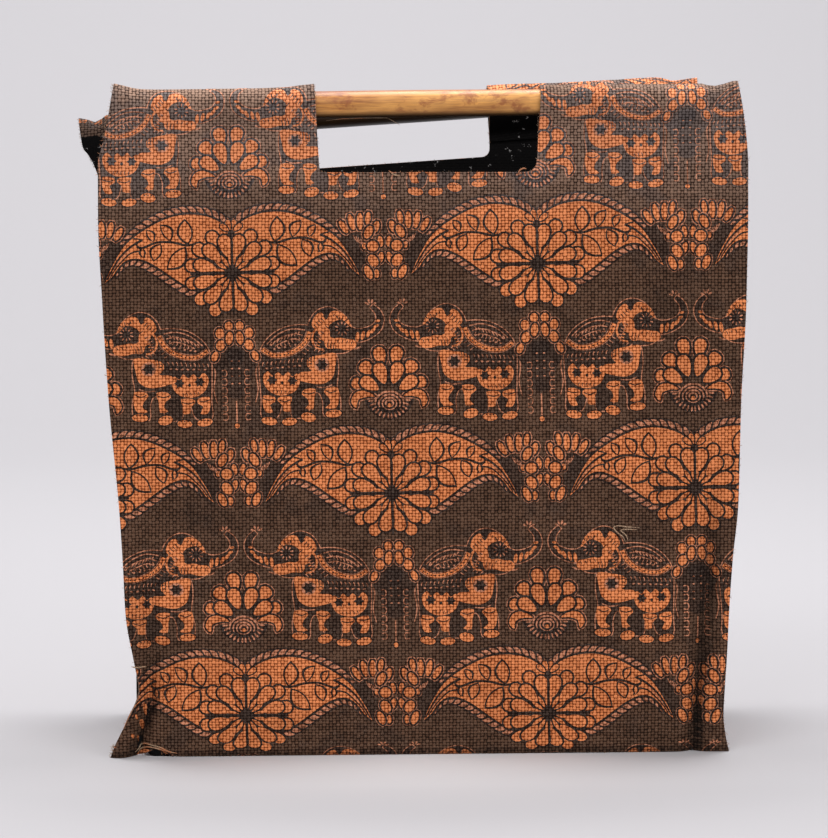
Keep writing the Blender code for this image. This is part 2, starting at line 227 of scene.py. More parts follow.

# Painted shade along a panel's foot by the floor, and on the strip left of its left seam, which turns away
# from the light
FOOT_TALL = 3.0
FOOT_SHADE = 0.75
STRIP_SHADE = 0.22

# Painted shade in the valleys pressed into the front panel beside its seams: height, place, half width,
# depth of the shade
LEFT_VALLEY_SHADE = (
    (0, -174, 3.2, 0.9), (6, -171.6, 3.4, 0.9), (14, -168, 3.4, 0.88), (24, -164, 3.2, 0.8),
    (34, -160.5, 3.2, 0.62), (44, -160.5, 4, 0.3), (60, -162, 5, 0.16), (120, -166, 6, 0.1),
    (170, -172, 7, 0),
)
RIGHT_VALLEY_SHADE = (
    (0, 162.6, 3.8, 0.94), (20, 163.4, 3.8, 0.92), (34, 164.2, 4, 0.8), (60, 166, 5.4, 0.62),
    (93, 169.5, 5.6, 0.58), (130, 171.5, 5.6, 0.44), (165, 174, 6, 0.1), (185, 176, 7, 0),
)

# Soft darker patches: place across and along, half sizes, depth of tone
FRONT_DARK_PATCHES = (
    (143, 270, 12, 16, 0.34), (166, 273, 14, 10, 0.26), (80, 245, 11, 13, 0.22), (158, 370, 10, 14, 0.22),
    (-136, 143, 22, 7, 0.26), (-118, 262, 26, 9, 0.12), (20, 40, 30, 8, 0.14), (-80, 20, 34, 8, 0.16),
)
BACK_DARK_PATCHES = ((-90, 210, 20, 26, 0.26), (70, 96, 30, 14, 0.22), (130, 290, 16, 20, 0.24))

# The turned-up lower edge beside the left corner
TURNED_EDGE = (
    ((-174, 2.4, 0.3), (-170, 5.6, 0.8), (-164.5, 7.4, 1.2), (-158.5, 6.2, 1.2), (-153, 3.4, 0.7),
     (-148, 2.2, 0.2)),
    ((-172, 2, 0.2), (-168, 4.4, 0.6), (-163, 5.8, 0.9), (-157.5, 4.6, 0.9), (-151, 2.4, 0.3)),
)


# The print


def curve(points, per_span=4, closed=False):
    """A smooth curve through a few points."""
    p = np.array(points, float)
    n = len(p)
    out = []
    for i in range(n if closed else n - 1):
        near = np.arange(i - 1, i + 3)
        a, b, c, d = p[near % n if closed else np.clip(near, 0, n - 1)]
        for k in range(per_span):
            t = k / per_span
            out.append(0.5 * (2 * b + (c - a) * t + (2 * a - 5 * b + 4 * c - d) * t ** 2
                              + (3 * b - 3 * c + d - a) * t ** 3))
    if not closed:
        out.append(p[-1])
    return np.array(out)


def blob(*points, per_span=3):
    """A smooth closed shape through a few points."""
    return curve(points, per_span, closed=True)


def oval(x, y, wide, tall, turn=0.0, n=10):
    """An oval with its half sizes; turn is in degrees."""
    a = np.arange(n) * 2 * math.pi / n
    c, s = math.cos(math.radians(turn)), math.sin(math.radians(turn))
    u, v = wide * np.cos(a), tall * np.sin(a)
    return np.stack([x + c * u - s * v, y + s * u + c * v], 1)


def petal(x, y, turn, near, far, wide, n=6):
    """A drop-shaped petal that points away from (x, y); turn is in degrees clockwise from up."""
    a = np.arange(n) * 2 * math.pi / n
    along = (near + far) / 2 + (far - near) / 2 * np.cos(a)
    across = wide * np.sin(a) * (0.78 + 0.30 * np.cos(a))
    c, s = math.cos(math.radians(turn)), math.sin(math.radians(turn))
    return np.stack([x + s * along + c * across, y + c * along - s * across], 1)


def leaf(x0, y0, x1, y1, wide, bend=0.0, n=6):
    """A pointed leaf from one point to the other; bend bows its middle line to the left."""
    t = np.linspace(0, 1, n)
    d = np.array((x1 - x0, y1 - y0))
    side = np.array((-d[1], d[0])) / np.hypot(*d)
    mid = np.outer(1 - t, (x0, y0)) + np.outer(t, (x1, y1)) + np.outer(4 * t * (1 - t) * bend, side)
    w = np.outer(wide * np.sin(math.pi * t) ** 0.85, side)
    return np.concatenate([mid + w, (mid - w)[-2:0:-1]])


def stroke(points, width, end_width=None, per_span=3):
    """A line drawn with a brush."""
    p = curve(points, per_span)
    along = np.gradient(p, axis=0)
    side = np.stack([-along[:, 1], along[:, 0]], 1) / np.linalg.norm(along, axis=1)[:, None]
    w = np.linspace(width, width if end_width is None else end_width, len(p))[:, None] / 2
    return np.concatenate([p + side * w, (p - side * w)[::-1]])


def grown(shape, by):
    """The shape's outline moved outward."""
    after = np.roll(shape, -1, 0)
    along = after - np.roll(shape, 1, 0)
    length = np.maximum(np.linalg.norm(along, axis=1), 1e-6)[:, None]
    side = np.stack([along[:, 1], -along[:, 0]], 1) / length
    area = np.sum(shape[:, 0] * after[:, 1] - shape[:, 1] * after[:, 0])
    return shape + side * (by if area > 0 else -by)


def outlined(shape, line, halo=0.0):
    """An orange shape in a black line, with a pale line outside that where halo is given."""
    out = [(BLACK, grown(shape, line)), (ORANGE, shape)]
    return [(PALE, grown(shape, line + halo)), *out] if halo else out


def both(shapes):
    """The shapes and their mirror images."""
    return shapes + [(ink, p * (-1, 1)) for ink, p in shapes]


def seeds(line, halo, *rows):
    """Outlined ovals on both sides. Each row: x, y, half sizes, turn."""
    return [part for row in rows for part in both(outlined(oval(*row), line, halo))]


def petals(y, n, line, halo, *rows):
    """Outlined petals on both sides around (0, y). Each row: turn, near, far, half width."""
    return [part for row in rows for part in both(outlined(petal(0, y, *row, n), line, halo))]


def hatch(start, end, count, reach, width=1.1, ink=PALE):
    """Short parallel brush strokes between two places."""
    dx, dy = reach
    out = []
    for t in np.linspace(0, 1, count):
        x, y = start[0] + (end[0] - start[0]) * t, start[1] + (end[1] - start[1]) * t
        line = [(x, y), (x + dx * 0.5 + 0.5, y + dy * 0.5), (x + dx, y + dy)]
        out.append((ink, stroke(line, width, width * 0.6, 1)))
    return out


def rope(path, first, last, flip=False):
    """A twisted border along a path, on its right, or on its left if flipped: strands that slant away
    from it and overlap, and grow smaller towards its ends."""
    p = curve(path, 6)
    along = np.gradient(p, axis=0)
    along /= np.linalg.norm(along, axis=1)[:, None]
    side = np.stack([along[:, 1], -along[:, 0]], 1) * (-1 if flip else 1)
    gone = np.concatenate([[0], np.cumsum(np.linalg.norm(np.diff(p, axis=0), axis=1))])
    count = int(gone[-1] / 7.2)
    out = []
    for k in range(count):
        d = (k + 0.6) * gone[-1] / count
        at, ahead, out_of = (np.array([np.interp(d, gone, v) for v in rows.T]) for rows in (p, along, side))
        size = min(1.0, first + d / 60, last + (gone[-1] - d) / 60)
        a, b = at + (out_of * 1.4 - ahead * 6.0) * size, at + (out_of * 7.6 + ahead * 5.2) * size
        strand = leaf(*a, *b, 2.3 * size, 0.9 if flip else -0.9)
        out += [(BLACK, grown(strand, 1.9)), (PALE, strand)]
    return out


def vine_leaf(x0, y0, x1, y1, wide, bend):
    """A leaf in a black line, whose orange stops a little short of its ends."""
    dx, dy = (x1 - x0) * 0.09, (y1 - y0) * 0.09
    return [(BLACK, leaf(x0, y0, x1, y1, wide + 1.1, bend, 8)),
            (ORANGE, leaf(x0 + dx, y0 + dy, x1 - dx, y1 - dy, wide - 1.1, bend * 0.8, 8))]


def wing():
    """A paisley wing beside a daisy, with a twisted border, a striped tail and a vine with leaves."""
    top = [(3, 44), (12, 52), (26, 58), (44, 60), (62, 57), (80, 49), (96, 39), (107, 29), (116, 15),
           (122, 4), (126, -6)]
    low = [(118, 1), (111, 11), (102, 17), (91, 17), (78, 11), (64, 1), (50, -9), (37, -16)]
    body = np.concatenate([curve(top, 3), curve(low, 3), [(10, 0)]])
    out = [
        *rope(top[:8], 1.0, 0.55, True),
        *rope(low[::-1], 1.0, 0.35),
        *outlined(body, 2.3),
        (BLACK, stroke([(88, 36), (99, 30), (110, 20), (118, 8), (124, -3)], 2.6, 1.6)),
        (BLACK, stroke([(90, 25), (100, 23), (109, 15), (116, 7), (121, -1)], 1.8, 1.2)),
        (BLACK, stroke([(86, 18), (89, 25), (94, 31), (90, 36), (97, 38)], 1.6)),
        (PALE, stroke([(101, 26), (110, 17), (117, 7)], 1.0, 0.7)),
        (BLACK, stroke([(30, 32), (44, 29), (58, 32.5), (74, 33), (88, 28), (94, 30)], 2.5)),
    ]
    for row in (
        (43, 29, 46, 56, 7.2, -1.5), (60, 33.5, 70, 51, 5.0, 2.5), (77, 33.5, 84, 46, 3.6, 1.5),
        (45, 28, 65, 5, 7.4, -2.5), (70, 32, 78, 14, 5.4, 1.5), (88, 28, 88, 18, 2.6, 0.5),
    ):
        out += vine_leaf(*row)
    return out


def spoke(turn, near, far, wide):
    """A thin ray of the daisy's middle."""
    x, y = math.sin(math.radians(turn)), math.cos(math.radians(turn))
    return leaf(x * near, y * near, x * far, y * far, wide, n=5)


def daisy():
    out = [
        (BLACK, oval(0, 0, 37, 37, n=20)),
        *petals(0, 14, 2.1, 0, *[(27.5 + 25.2 * k, 28, 47.0, 7.2) for k in range(6)]),
        *petals(0, 14, 2.1, 0, *[(12.5 + 31 * k, 16.5, 39.0, 7.7) for k in range(6)]),
    ]
    for k in range(8):
        out += both([(ORANGE, spoke(7.5 + 23.5 * k, 6.5, 21.0, 1.9))])
    out.append((BLACK, oval(0, 0, 5.6, 5.2)))
    for s in (1, -1):
        out += [(BLACK, stroke([(0, 6 * s), (0, 26 * s), (0, 42 * s)], 3.2, 2.0)),
                (BLACK, stroke([(6 * s, 0), (24 * s, 0.6), (42 * s, 0)], 4.0, 2.2))]
    return out


def palmette():
    """A shell flower above the daisy, over a dark crescent with small pale petals."""
    y = 97
    droop = blob((14, 97), (24, 103), (34, 101), (38, 92), (33, 86), (31, 94), (22, 97))
    out = [
        *petals(y, 12, 2.4, 0.7, (11.5, 31.5, 50, 7.4), (38, 28.5, 43, 7.9), (67, 26.5, 40, 6.8)),
        *both(outlined(droop, 1.7, 1.0)),
        *petals(y, 12, 2.4, 0, (18.5, 13.0, 35.0, 7.9), (57, 12.5, 33.0, 7.8)),
    ]
    for r in (15, 11.4, 7.8, 4.6):
        out += [(PALE, oval(0, 90, r, r * 0.86, n=16)),
                (BLACK, oval(0, 89.4, r - 1.3, r * 0.86 - 1.4, n=16))]
    out += [
        (ORANGE, oval(0, 88, 2.2, 2.0, n=8)),
        (BLACK, blob((-25, 95), (-20, 84), (-10, 76), (0, 74), (10, 76), (20, 84), (25, 95), (13, 88),
                     (0, 83), (-13, 88), per_span=2)),
    ]
    for k in range(7):
        out += both([(PALE, petal(0, 96, 100 + 12.5 * k, 15.5, 21.5, 1.3))])
    return out


def star(x, y, r):
    a = np.arange(12) * math.pi / 6
    reach = np.where(np.arange(12) % 2 == 0, r, r * 0.62)
    return np.stack([x + reach * np.cos(a), y + reach * np.sin(a)], 1)


def foot(x, y, *size):
    """A foot with three toenails."""
    nails = [(BLACK, oval(x + 3.4 * k, y + 2.4, 0.9, 0.8, 0, 5)) for k in (-1, 0, 1)]
    return outlined(oval(x, y, *size), 1.3) + nails


def elephant():
    """Stands to the right of the palmette and faces it, with its trunk raised."""
    figure = (
        blob((57, 146), (63, 160), (74, 168), (88, 170), (102, 168), (114, 162), (123, 153), (128, 140),
             (128, 118), (127, 96), (127, 79), (112, 79), (107, 91), (102, 95), (98, 91), (97, 79),
             (84, 79), (78, 92), (74, 102), (69, 101), (66, 92), (65, 79), (51, 80), (49, 95), (52, 108),
             (50, 124), (51, 138)),
        blob((34, 158), (37, 170), (45, 181), (57, 187), (69, 184), (77, 174), (79, 162), (74, 150),
             (64, 143), (50, 141), (39, 143), (33, 150)),
        stroke([(40, 160), (30, 158), (20, 160), (11, 165), (7, 173), (9, 181), (15, 187)], 15.0, 4.0, 4),
    )
    band = [(77, 163), (82, 153), (91, 145.5), (103, 141), (115, 141), (125, 147)]
    saddle = [[(82 + lift * 0.5, 165 - lift), (95, 166.5 - lift), (109, 161.5 - lift),
               (120 - lift * 0.8, 152 - lift * 0.3)] for lift in (0.0, 5.0, 10.0)]
    return [
        *[(PALE, grown(shape, 0.95)) for shape in figure],
        *[(DUSK, shape) for shape in figure],
        # trunk: rings, the leaf it holds, tusk
        *[(ORANGE, oval(*row, 8)) for row in (
            (30, 156.5, 2.0, 5.2, 8), (24.5, 158, 1.9, 4.8, 14), (19, 159.5, 1.8, 4.2, 22),
            (14.4, 162.6, 1.7, 3.6, 42), (11, 167, 1.5, 3.0, 62), (9.2, 172, 1.3, 2.5, 80))],
        *[(PALE, petal(16, 188, turn, 1.5, 6.4, 1.3)) for turn in (-70, -25, 20, 65)],
        (PALE, stroke([(41, 149), (33, 145), (27, 147)], 2.6, 1.2)),
        # brow, ear and cheek
        (ORANGE, blob((36, 168), (40, 177), (49, 183), (56, 182), (60, 175), (65, 182), (72, 178),
                      (75, 169), (69, 163), (66, 155), (59, 153), (57, 161), (58, 168), (52, 173),
                      (44, 174), (38, 168))),
        (BLACK, blob((57, 185), (60, 176), (64, 184), per_span=2)),
        *[(BLACK, petal(46, 165.5, 15 - 26 * k, 8.6, 13.0, 0.75)) for k in range(9)],
        *hatch((61, 181), (75, 168), 7, (-3.2, -3.6), 1.1, BLACK),
        *hatch((58, 166), (66, 158), 4, (3.4, 3.0), 1.0, BLACK),
        *hatch((41, 174), (52, 180), 5, (0.8, -2.6), 1.0, BLACK),
        (ORANGE, stroke([(60, 163), (67, 167), (73, 163), (75, 155), (71, 147), (64, 145)], 2.4, 1.8)),
        *hatch((63, 162), (71, 149), 6, (4.4, 1.6)),
        *hatch((64, 158), (68, 149), 4, (3.0, 1.2), 1.3, ORANGE),
        (ORANGE, blob((31, 149), (34, 154), (41, 155), (48, 156.5), (54, 156), (60, 159), (63, 152),
                      (60, 146), (51, 146), (43, 144), (35, 144.5))),
        *hatch((54, 145), (60, 147), 3, (-1.2, 7), 1.1, BLACK),
        *hatch((35, 152.5), (49, 154.5), 4, (1.0, -3.0), 1.0, BLACK),
        # eye
        (BLACK, oval(45, 165.5, 7.6, 6.8, n=12)),
        *[(PALE, petal(45, 165.5, k * 36, 3.6, 7.4, 0.9)) for k in range(10)],
        (BLACK, oval(45, 165.5, 3.2, 2.8, n=8)),
        # neck
        *hatch((56, 141), (70, 147), 5, (3.2, -3.0)),
        *hatch((76, 148), (82, 141), 3, (3.6, 2.4)),
        # saddle cloth: nested outlines with strokes between them, over a dotted band
        *[(PALE, stroke(arc, width)) for arc, width in zip(saddle, (1.2, 1.1, 1.0))],
        *hatch((87, 164), (115, 154), 9, (2.0, -3.4), 1.2),
        *hatch((88, 158.5), (110, 150.5), 7, (-1.6, -3.2), 1.1),
        *[(PALE, oval(92 + 5.2 * k, 150.5 - 0.9 * k, 1.3, 1.0, 0, 5)) for k in range(5)],
        (PALE, stroke(band, 7.0, 6.0)),
        (BLACK, stroke(band, 5.8, 4.8)),
        (ORANGE, stroke(band, 4.6, 3.8)),
        *[(BLACK, oval(x, y, 0.9, 0.9, 0, 6)) for x, y in curve(band, 3)[1:-1]],
        # flank between saddle and belly
        *hatch((85, 137), (124, 134), 10, (1.2, -3.6), 1.1),
        *[(PALE, oval(88 + 5.6 * k, 129.5 - 0.25 * k, 1.7, 0.9, 20 * (-1) ** k, 5)) for k in range(7)],
        # chest
        (ORANGE, blob((52, 141), (66, 140), (79, 137), (81, 130), (77, 124), (88, 123), (90, 116),
                      (78, 112), (66, 111), (56, 117), (53, 128))),
        (PALE, oval(66, 130, 7.6, 7.2, 0, 12)),
        (BLACK, star(66, 130, 6.6)),
        *hatch((73, 140), (79, 138), 3, (0.4, -9), 1.0, BLACK),
        *hatch((79, 138), (80, 124), 5, (-3.6, 0.8), 1.0, BLACK),
        (PALE, stroke([(56, 110), (63, 107.5), (72, 108)], 1.1)),
        # belly
        (ORANGE, blob((88, 116), (91, 122), (96, 119), (100, 124), (105, 120), (110, 124), (115, 120),
                      (120, 125), (125, 119), (122, 108), (112, 101), (101, 101), (92, 106))),
        (BLACK, star(96, 115, 5.4)),
        (BLACK, star(116, 116, 5.6)),
        (BLACK, oval(106, 113, 1.6, 1.9, 0, 6)),
        *hatch((99, 105), (114, 106), 5, (0.6, -3.4), 1.0, BLACK),
        # legs and feet
        *[(ORANGE, blob(*leg, per_span=2)) for leg in (
            [(51, 107), (61, 107), (65, 103), (60, 97), (59, 91), (64, 87), (54, 86), (50, 95)],
            [(73, 106), (84, 106), (87, 101), (82, 97), (80, 91), (84, 87), (76, 86), (75, 96)],
            [(97, 99), (109, 99), (111, 95), (106, 90), (106, 85), (99, 84), (99, 91)],
            [(114, 99), (125, 101), (126, 92), (123, 84), (116, 84), (119, 91), (114, 94)])],
        *[(BLACK, stroke(line, 1.1, per_span=2)) for line in (
            [(52, 104), (58, 102), (63, 104)], [(74, 103), (80, 101), (86, 103)],
            [(98, 96), (104, 94), (110, 96)], [(115, 97), (120, 96), (126, 98)])],
        *foot(56, 81, 8.2, 4.0, -4),
        *foot(81, 78, 7.6, 4.8, 12),
        *foot(100, 74, 7.6, 4.0, -4),
        *foot(120, 75, 8.0, 4.0, 10),
        # tail
        (PALE, stroke([(129, 138), (132, 124), (130, 108), (133, 94)], 1.3, 0.9)),
    ]


def sprays():
    """Where two wings' tips meet, centred on their mirror line."""
    return [
        *both([(DUSK, blob((-44, 32), (-32, 36), (-22, 30), (-20, 12), (-14, -8), (-24, -4), (-32, 14)))]),
        *seeds(2.0, 0.9, (40.5, 42.5, 2.9, 7.4, -32), (32.5, 47, 3.0, 8.4, -14), (24, 47.5, 3.1, 8.6, 0),
               (16, 50.5, 2.7, 6.4, 10), (8.2, 41.5, 3.1, 6.2, 16), (15.8, 36.5, 3.9, 6.8, 26)),
        *seeds(2.0, 0.4, (4.2, 27, 2.6, 5.6, -8), (20.5, 23, 2.2, 3.2, 0), (12, 22.5, 5.6, 5.4, 0),
               (4.4, 11, 2.8, 5.6, 14), (12, 8, 4.8, 6.6, -32), (9.0, -5.0, 2.6, 4.4, 0),
               (17, -3.5, 3.6, 7.2, -22)),
        *both(hatch((24, 30), (31, 34), 4, (-4.0, -7.0))),
    ]


def totem():
    """Below a daisy, between two elephants' tails."""
    out = [
        (DUSK, blob((-20, -78), (-23, -90), (-15, -104), (-10, -120), (0, -126), (10, -120), (15, -104),
                    (23, -90), (20, -78), (0, -72))),
        (BLACK, blob((-9, -79), (-6, -90), (0, -94), (6, -90), (9, -79), (0, -76))),
        *seeds(1.9, 0.6, (20, -83, 3.2, 5.2, 24), (14.5, -60, 4.2, 5.2, 0), (14.0, -72, 4.4, 5.4, 25),
               (5.4, -53, 4.0, 4.6, 0), (5.2, -65, 3.6, 6.8, 8)),
    ]
    for k in range(6):
        y = -100 - 8.8 * k
        ring = [(13.6, y + 2.6), (10, y + 3.2), (8.6, y), (10, y - 3.2), (13.6, y - 2.6)]
        out += both([(PALE, stroke(ring, 1.15, 0.9, 2))])
    for k in range(4):
        out += both([(PALE, oval(3.6, -88 - 7.5 * k, 1.4, 0.8, 0, 5))])
    out.append((PALE, stroke([(0, -128), (0, -140), (0, -150)], 1.3)))
    return out + outlined(oval(0, -153, 2.6, 2.6, 0, 8), 1.2)


def motif():
    """Everything that belongs to one daisy, whose centre is (0, 0)."""
    return [
        *both(wing()),
        # small petals where the wings meet
        *petals(40, 8, 1.4, 0, (16, 3, 14, 3.2), (50, 3, 14, 3.2)),
        *daisy(),
        *palmette(),
        *both(elephant()),
        *totem(),
        *[(ink, p + (REPEAT_WIDE / 2, 0)) for ink, p in sprays()],
    ]


def repeats(lo, hi):
    """Places of the daisies whose motifs may reach into the box from lo to hi."""
    out = []
    for j in range(-12, 13):
        for i in range(-12, 13):
            x, y = REPEAT_WIDE * i + REPEAT_WIDE / 2 * (j % 2), REPEAT_TALL * j
            across = lo[0] - REACH_ASIDE < x < hi[0] + REACH_ASIDE
            if across and lo[1] - REACH_UP < y < hi[1] + REACH_DOWN:
                out.append((x, y))
    return out


# Shapes of the cloth


def smooth(rows, at, column=1):
    """Reads a table on a curve through its rows that never overshoots."""
    table = np.array(rows, float)
    xs, ys = table[:, 0], table[:, column]
    rise = np.diff(ys) / np.diff(xs)
    slopes = np.zeros(len(xs))
    slopes[0], slopes[-1] = rise[0], rise[-1]
    same = rise[:-1] * rise[1:] > 0
    total = np.where(same, rise[:-1] + rise[1:], 1.0)
    slopes[1:-1] = np.where(same, 2 * rise[:-1] * rise[1:] / total, 0.0)
    x = np.clip(at, xs[0], xs[-1])
    i = np.clip(np.searchsorted(xs, x) - 1, 0, len(xs) - 2)
    span = xs[i + 1] - xs[i]
    t = (x - xs[i]) / span
    start, end = (1 + 2 * t) * (1 - t) ** 2, t * t * (3 - 2 * t)
    leave, arrive = t * (1 - t) ** 2, t * t * (t - 1)
    return start * ys[i] + end * ys[i + 1] + span * (leave * slopes[i] + arrive * slopes[i + 1])


def soft_step(t):
    t = np.clip(t, 0.0, 1.0)
    return t * t * (3 - 2 * t)


def bell(x, middle, half_width):
    return np.exp(-(((x - middle) / half_width) ** 2))


def casing_profile():
    """The casing's section: how far along it, inward from the panel's plane, up from the dowel's axis."""
    first, last = CASING_TURN
    turns = np.radians(np.arange(first, last - 1, -ARC_STEP))
    arc = [(CASING_OFFSET + CASING_RADIUS * math.cos(a), CASING_RADIUS * math.sin(a)) for a in turns]
    points = curve([(0.0, -26.0), (0.0, -CASING_BELOW), CASING_START, *arc, *HEM_END], 5)[5:]
    along = np.concatenate([[0], np.cumsum(np.linalg.norm(np.diff(points, axis=0), axis=1))])
    return along, points[:, 0], points[:, 1]


class Panel:
    """One panel, laid out flat as (across, along); side is -1 for the front and +1 for the back, and
    outward is the sign of the flat cloth's normal on its printed face."""

    def __init__(self, **given):
        self.__dict__.update(given)
        self.along, self.inward, self.up = casing_profile()
        self.hole_turn = math.atan(self.dowel[2]) if self.side > 0 else 0.0

    def dowel_axis(self, x):
        middle, height, rise = self.dowel
        return height + rise * (x - middle)

    def plain_top(self, x):
        return self.dowel_axis(x) - CASING_BELOW

    def seam(self, left, z):
        rows = self.seams[0 if left else 1]
        return smooth(rows, z), smooth(rows, z, 2), smooth(rows, z, 3)

    def standoff(self, x, z):
        """How far the panel stands from the bag's middle."""
        out = smooth(self.depth, z)
        for left in (True, False):
            place, pull, width = self.seam(left, z)
            out = out - pull * bell(x, place, width)
        for x0, z0, x1, z1, width, deep in self.folds:
            dx, dz = x1 - x0, z1 - z0
            t = np.clip(((x - x0) * dx + (z - z0) * dz) / (dx * dx + dz * dz), 0, 1)
            away = np.hypot(x - x0 - t * dx, z - z0 - t * dz) / width
            out = out - deep * np.exp(-away * away)
        below = self.plain_top(x) - z
        return out + (self.casing_standoff() - out) * soft_step(1 - below / STRAIGHTEN_OVER)

    def casing_standoff(self):
        return smooth(self.depth, self.dowel[1] - CASING_BELOW)

    def painted_shade(self, x, s):
        """How much darker the cloth is painted: painted shade along its lower edge, in the seams' valleys
        and on the strip left of its left seam, and soft darker patches.
        """
        out = bell(s, 0, FOOT_TALL) * FOOT_SHADE
        for rows in self.valleys:
            place, width, deep = (smooth(rows, s, column) for column in (1, 2, 3))
            out = np.maximum(out, deep * bell(x, place, width))
        for place, height, wide, tall, deep in self.smudges:
            out = np.maximum(out, deep * np.exp(-(((x - place) / wide) ** 2) - ((s - height) / tall) ** 2))
        # Painted shade on the strip left of the left seam, which turns away from the light
        strip = soft_step((s - 36) / 14) * soft_step((135 - s) / 60)
        beside_seam = soft_step((self.seam(True, s)[0] + 3 - x) / 5)
        return np.maximum(out, STRIP_SHADE * strip * beside_seam)

    def floor_edge(self, x):
        place, width, height = self.lift
        return FLOOR_GAP + height * bell(x, place, width)

    def roundness(self, x):
        """The casing is round over the dowel and flatter past its ends."""
        past = np.abs(x - self.dowel[0]) - DOWEL_LENGTH / 2 - FLATTEN_PAST
        return 1 - (1 - CASING_FLAT) * soft_step(past / FLATTEN_OVER)

    def place(self, x, s):
        """Where a point of the flat panel goes: x, y and z of its middle layer, from the panel's middle."""
        past = s - self.plain_top(x)
        up = np.interp(past, self.along, self.up)
        inward = np.interp(past, self.along, self.inward) * self.roundness(x)
        slack = 1 + smooth(self.slack, x) / CASING_RADIUS
        z = np.where(past > 0, self.dowel_axis(x) + np.where(up > 0, up * slack, up), s)
        y = np.where(past > 0, self.casing_standoff() - inward, self.standoff(x, s))
        return np.stack([x, self.side * y, z], -1)

    def edge(self, right, s):
        """x of the panel's left or right edge at a place along the cloth."""
        column = 2 if right else 1
        x = smooth(self.edges, s, column)
        for _ in range(4):
            x = smooth(self.edges, self.place(x, s)[..., 2], column)
        return x

    def hole_side(self, right, s):
        """x of the hand hole's side at a place along the cloth."""
        left_at, right_at, low, widen_left, widen_right, _, _ = self.hole
        middle = (left_at + right_at) / 2
        at, widen = (right_at - middle, widen_right) if right else (left_at - middle, -widen_left)
        sine, cosine = math.sin(self.hole_turn), math.cos(self.hole_turn)
        x, over = np.full(np.shape(s), middle + at), np.full(np.shape(s), at)
        for _ in range(5):
            z = self.place(x, s)[..., 2]
            high = (z - low - over * sine) / cosine
            over = at + widen * high / HOLE_TALL
            x = middle + over * cosine - high * sine
        return x

    def hole_bottom(self):
        """The hole's lower edge with its corners, from right to left."""
        left_at, right_at, low, _, _, radius_left, radius_right = self.hole
        middle, half = (left_at + right_at) / 2, (right_at - left_at) / 2
        a = np.radians(np.linspace(0, 90, 6))
        right = np.stack([half - radius_right * (1 - np.cos(a)), radius_right * (1 - np.sin(a))], 1)
        left = np.stack([-half + radius_left * (1 - np.sin(a)), radius_left * (1 - np.cos(a))], 1)
        across = np.linspace(half - radius_right, -half + radius_left, 32)[1:-1]
        x, z = np.concatenate([right, np.stack([across, across * 0], 1), left]).T
        s, c = math.sin(self.hole_turn), math.cos(self.hole_turn)
        return np.stack([middle + x * c - z * s, low + x * s + z * c], 1)

    def outline(self):
        """The cut panel's outline on the flat cloth, counterclockwise."""
        length = self.along[-1]
        bottom_x = np.arange(self.edge(False, 1.0) + 2.0, self.edge(True, 1.0) - 1.5, 3.0)
        bottom = np.stack([bottom_x, self.floor_edge(bottom_x)], 1)
        ends, sides = {}, {}
        for right in (False, True):
            top = self.plain_top(self.edge(right, EDGE_TOP)) + length
            s = np.concatenate([np.arange(FLOOR_GAP, EDGE_FINE_FROM, EDGE_STEP),
                                np.linspace(EDGE_FINE_FROM, top - HEM_SHORT, 40)])
            ends[right] = np.stack([self.edge(right, s), s], 1)
        low = self.hole_bottom()
        for right, (at, start) in ((True, low[0]), (False, low[-1])):
            s = np.linspace(start, self.plain_top(at) + length - HEM_SHORT, 44)[1:]
            sides[right] = np.stack([self.hole_side(right, s), s], 1)

        def top_edge(x0, x1):
            x = np.linspace(x0, x1, max(int(abs(x1 - x0) / 4), 3))[1:-1]
            return np.stack([x, self.plain_top(x) + length - HEM_SHORT], 1)

        return np.concatenate([
            bottom,
            ends[True],
            top_edge(ends[True][-1, 0], sides[True][-1, 0]),
            sides[True][::-1],
            low,
            sides[False],
            top_edge(sides[False][-1, 0], ends[False][-1, 0]),
            ends[False][::-1],
        ])


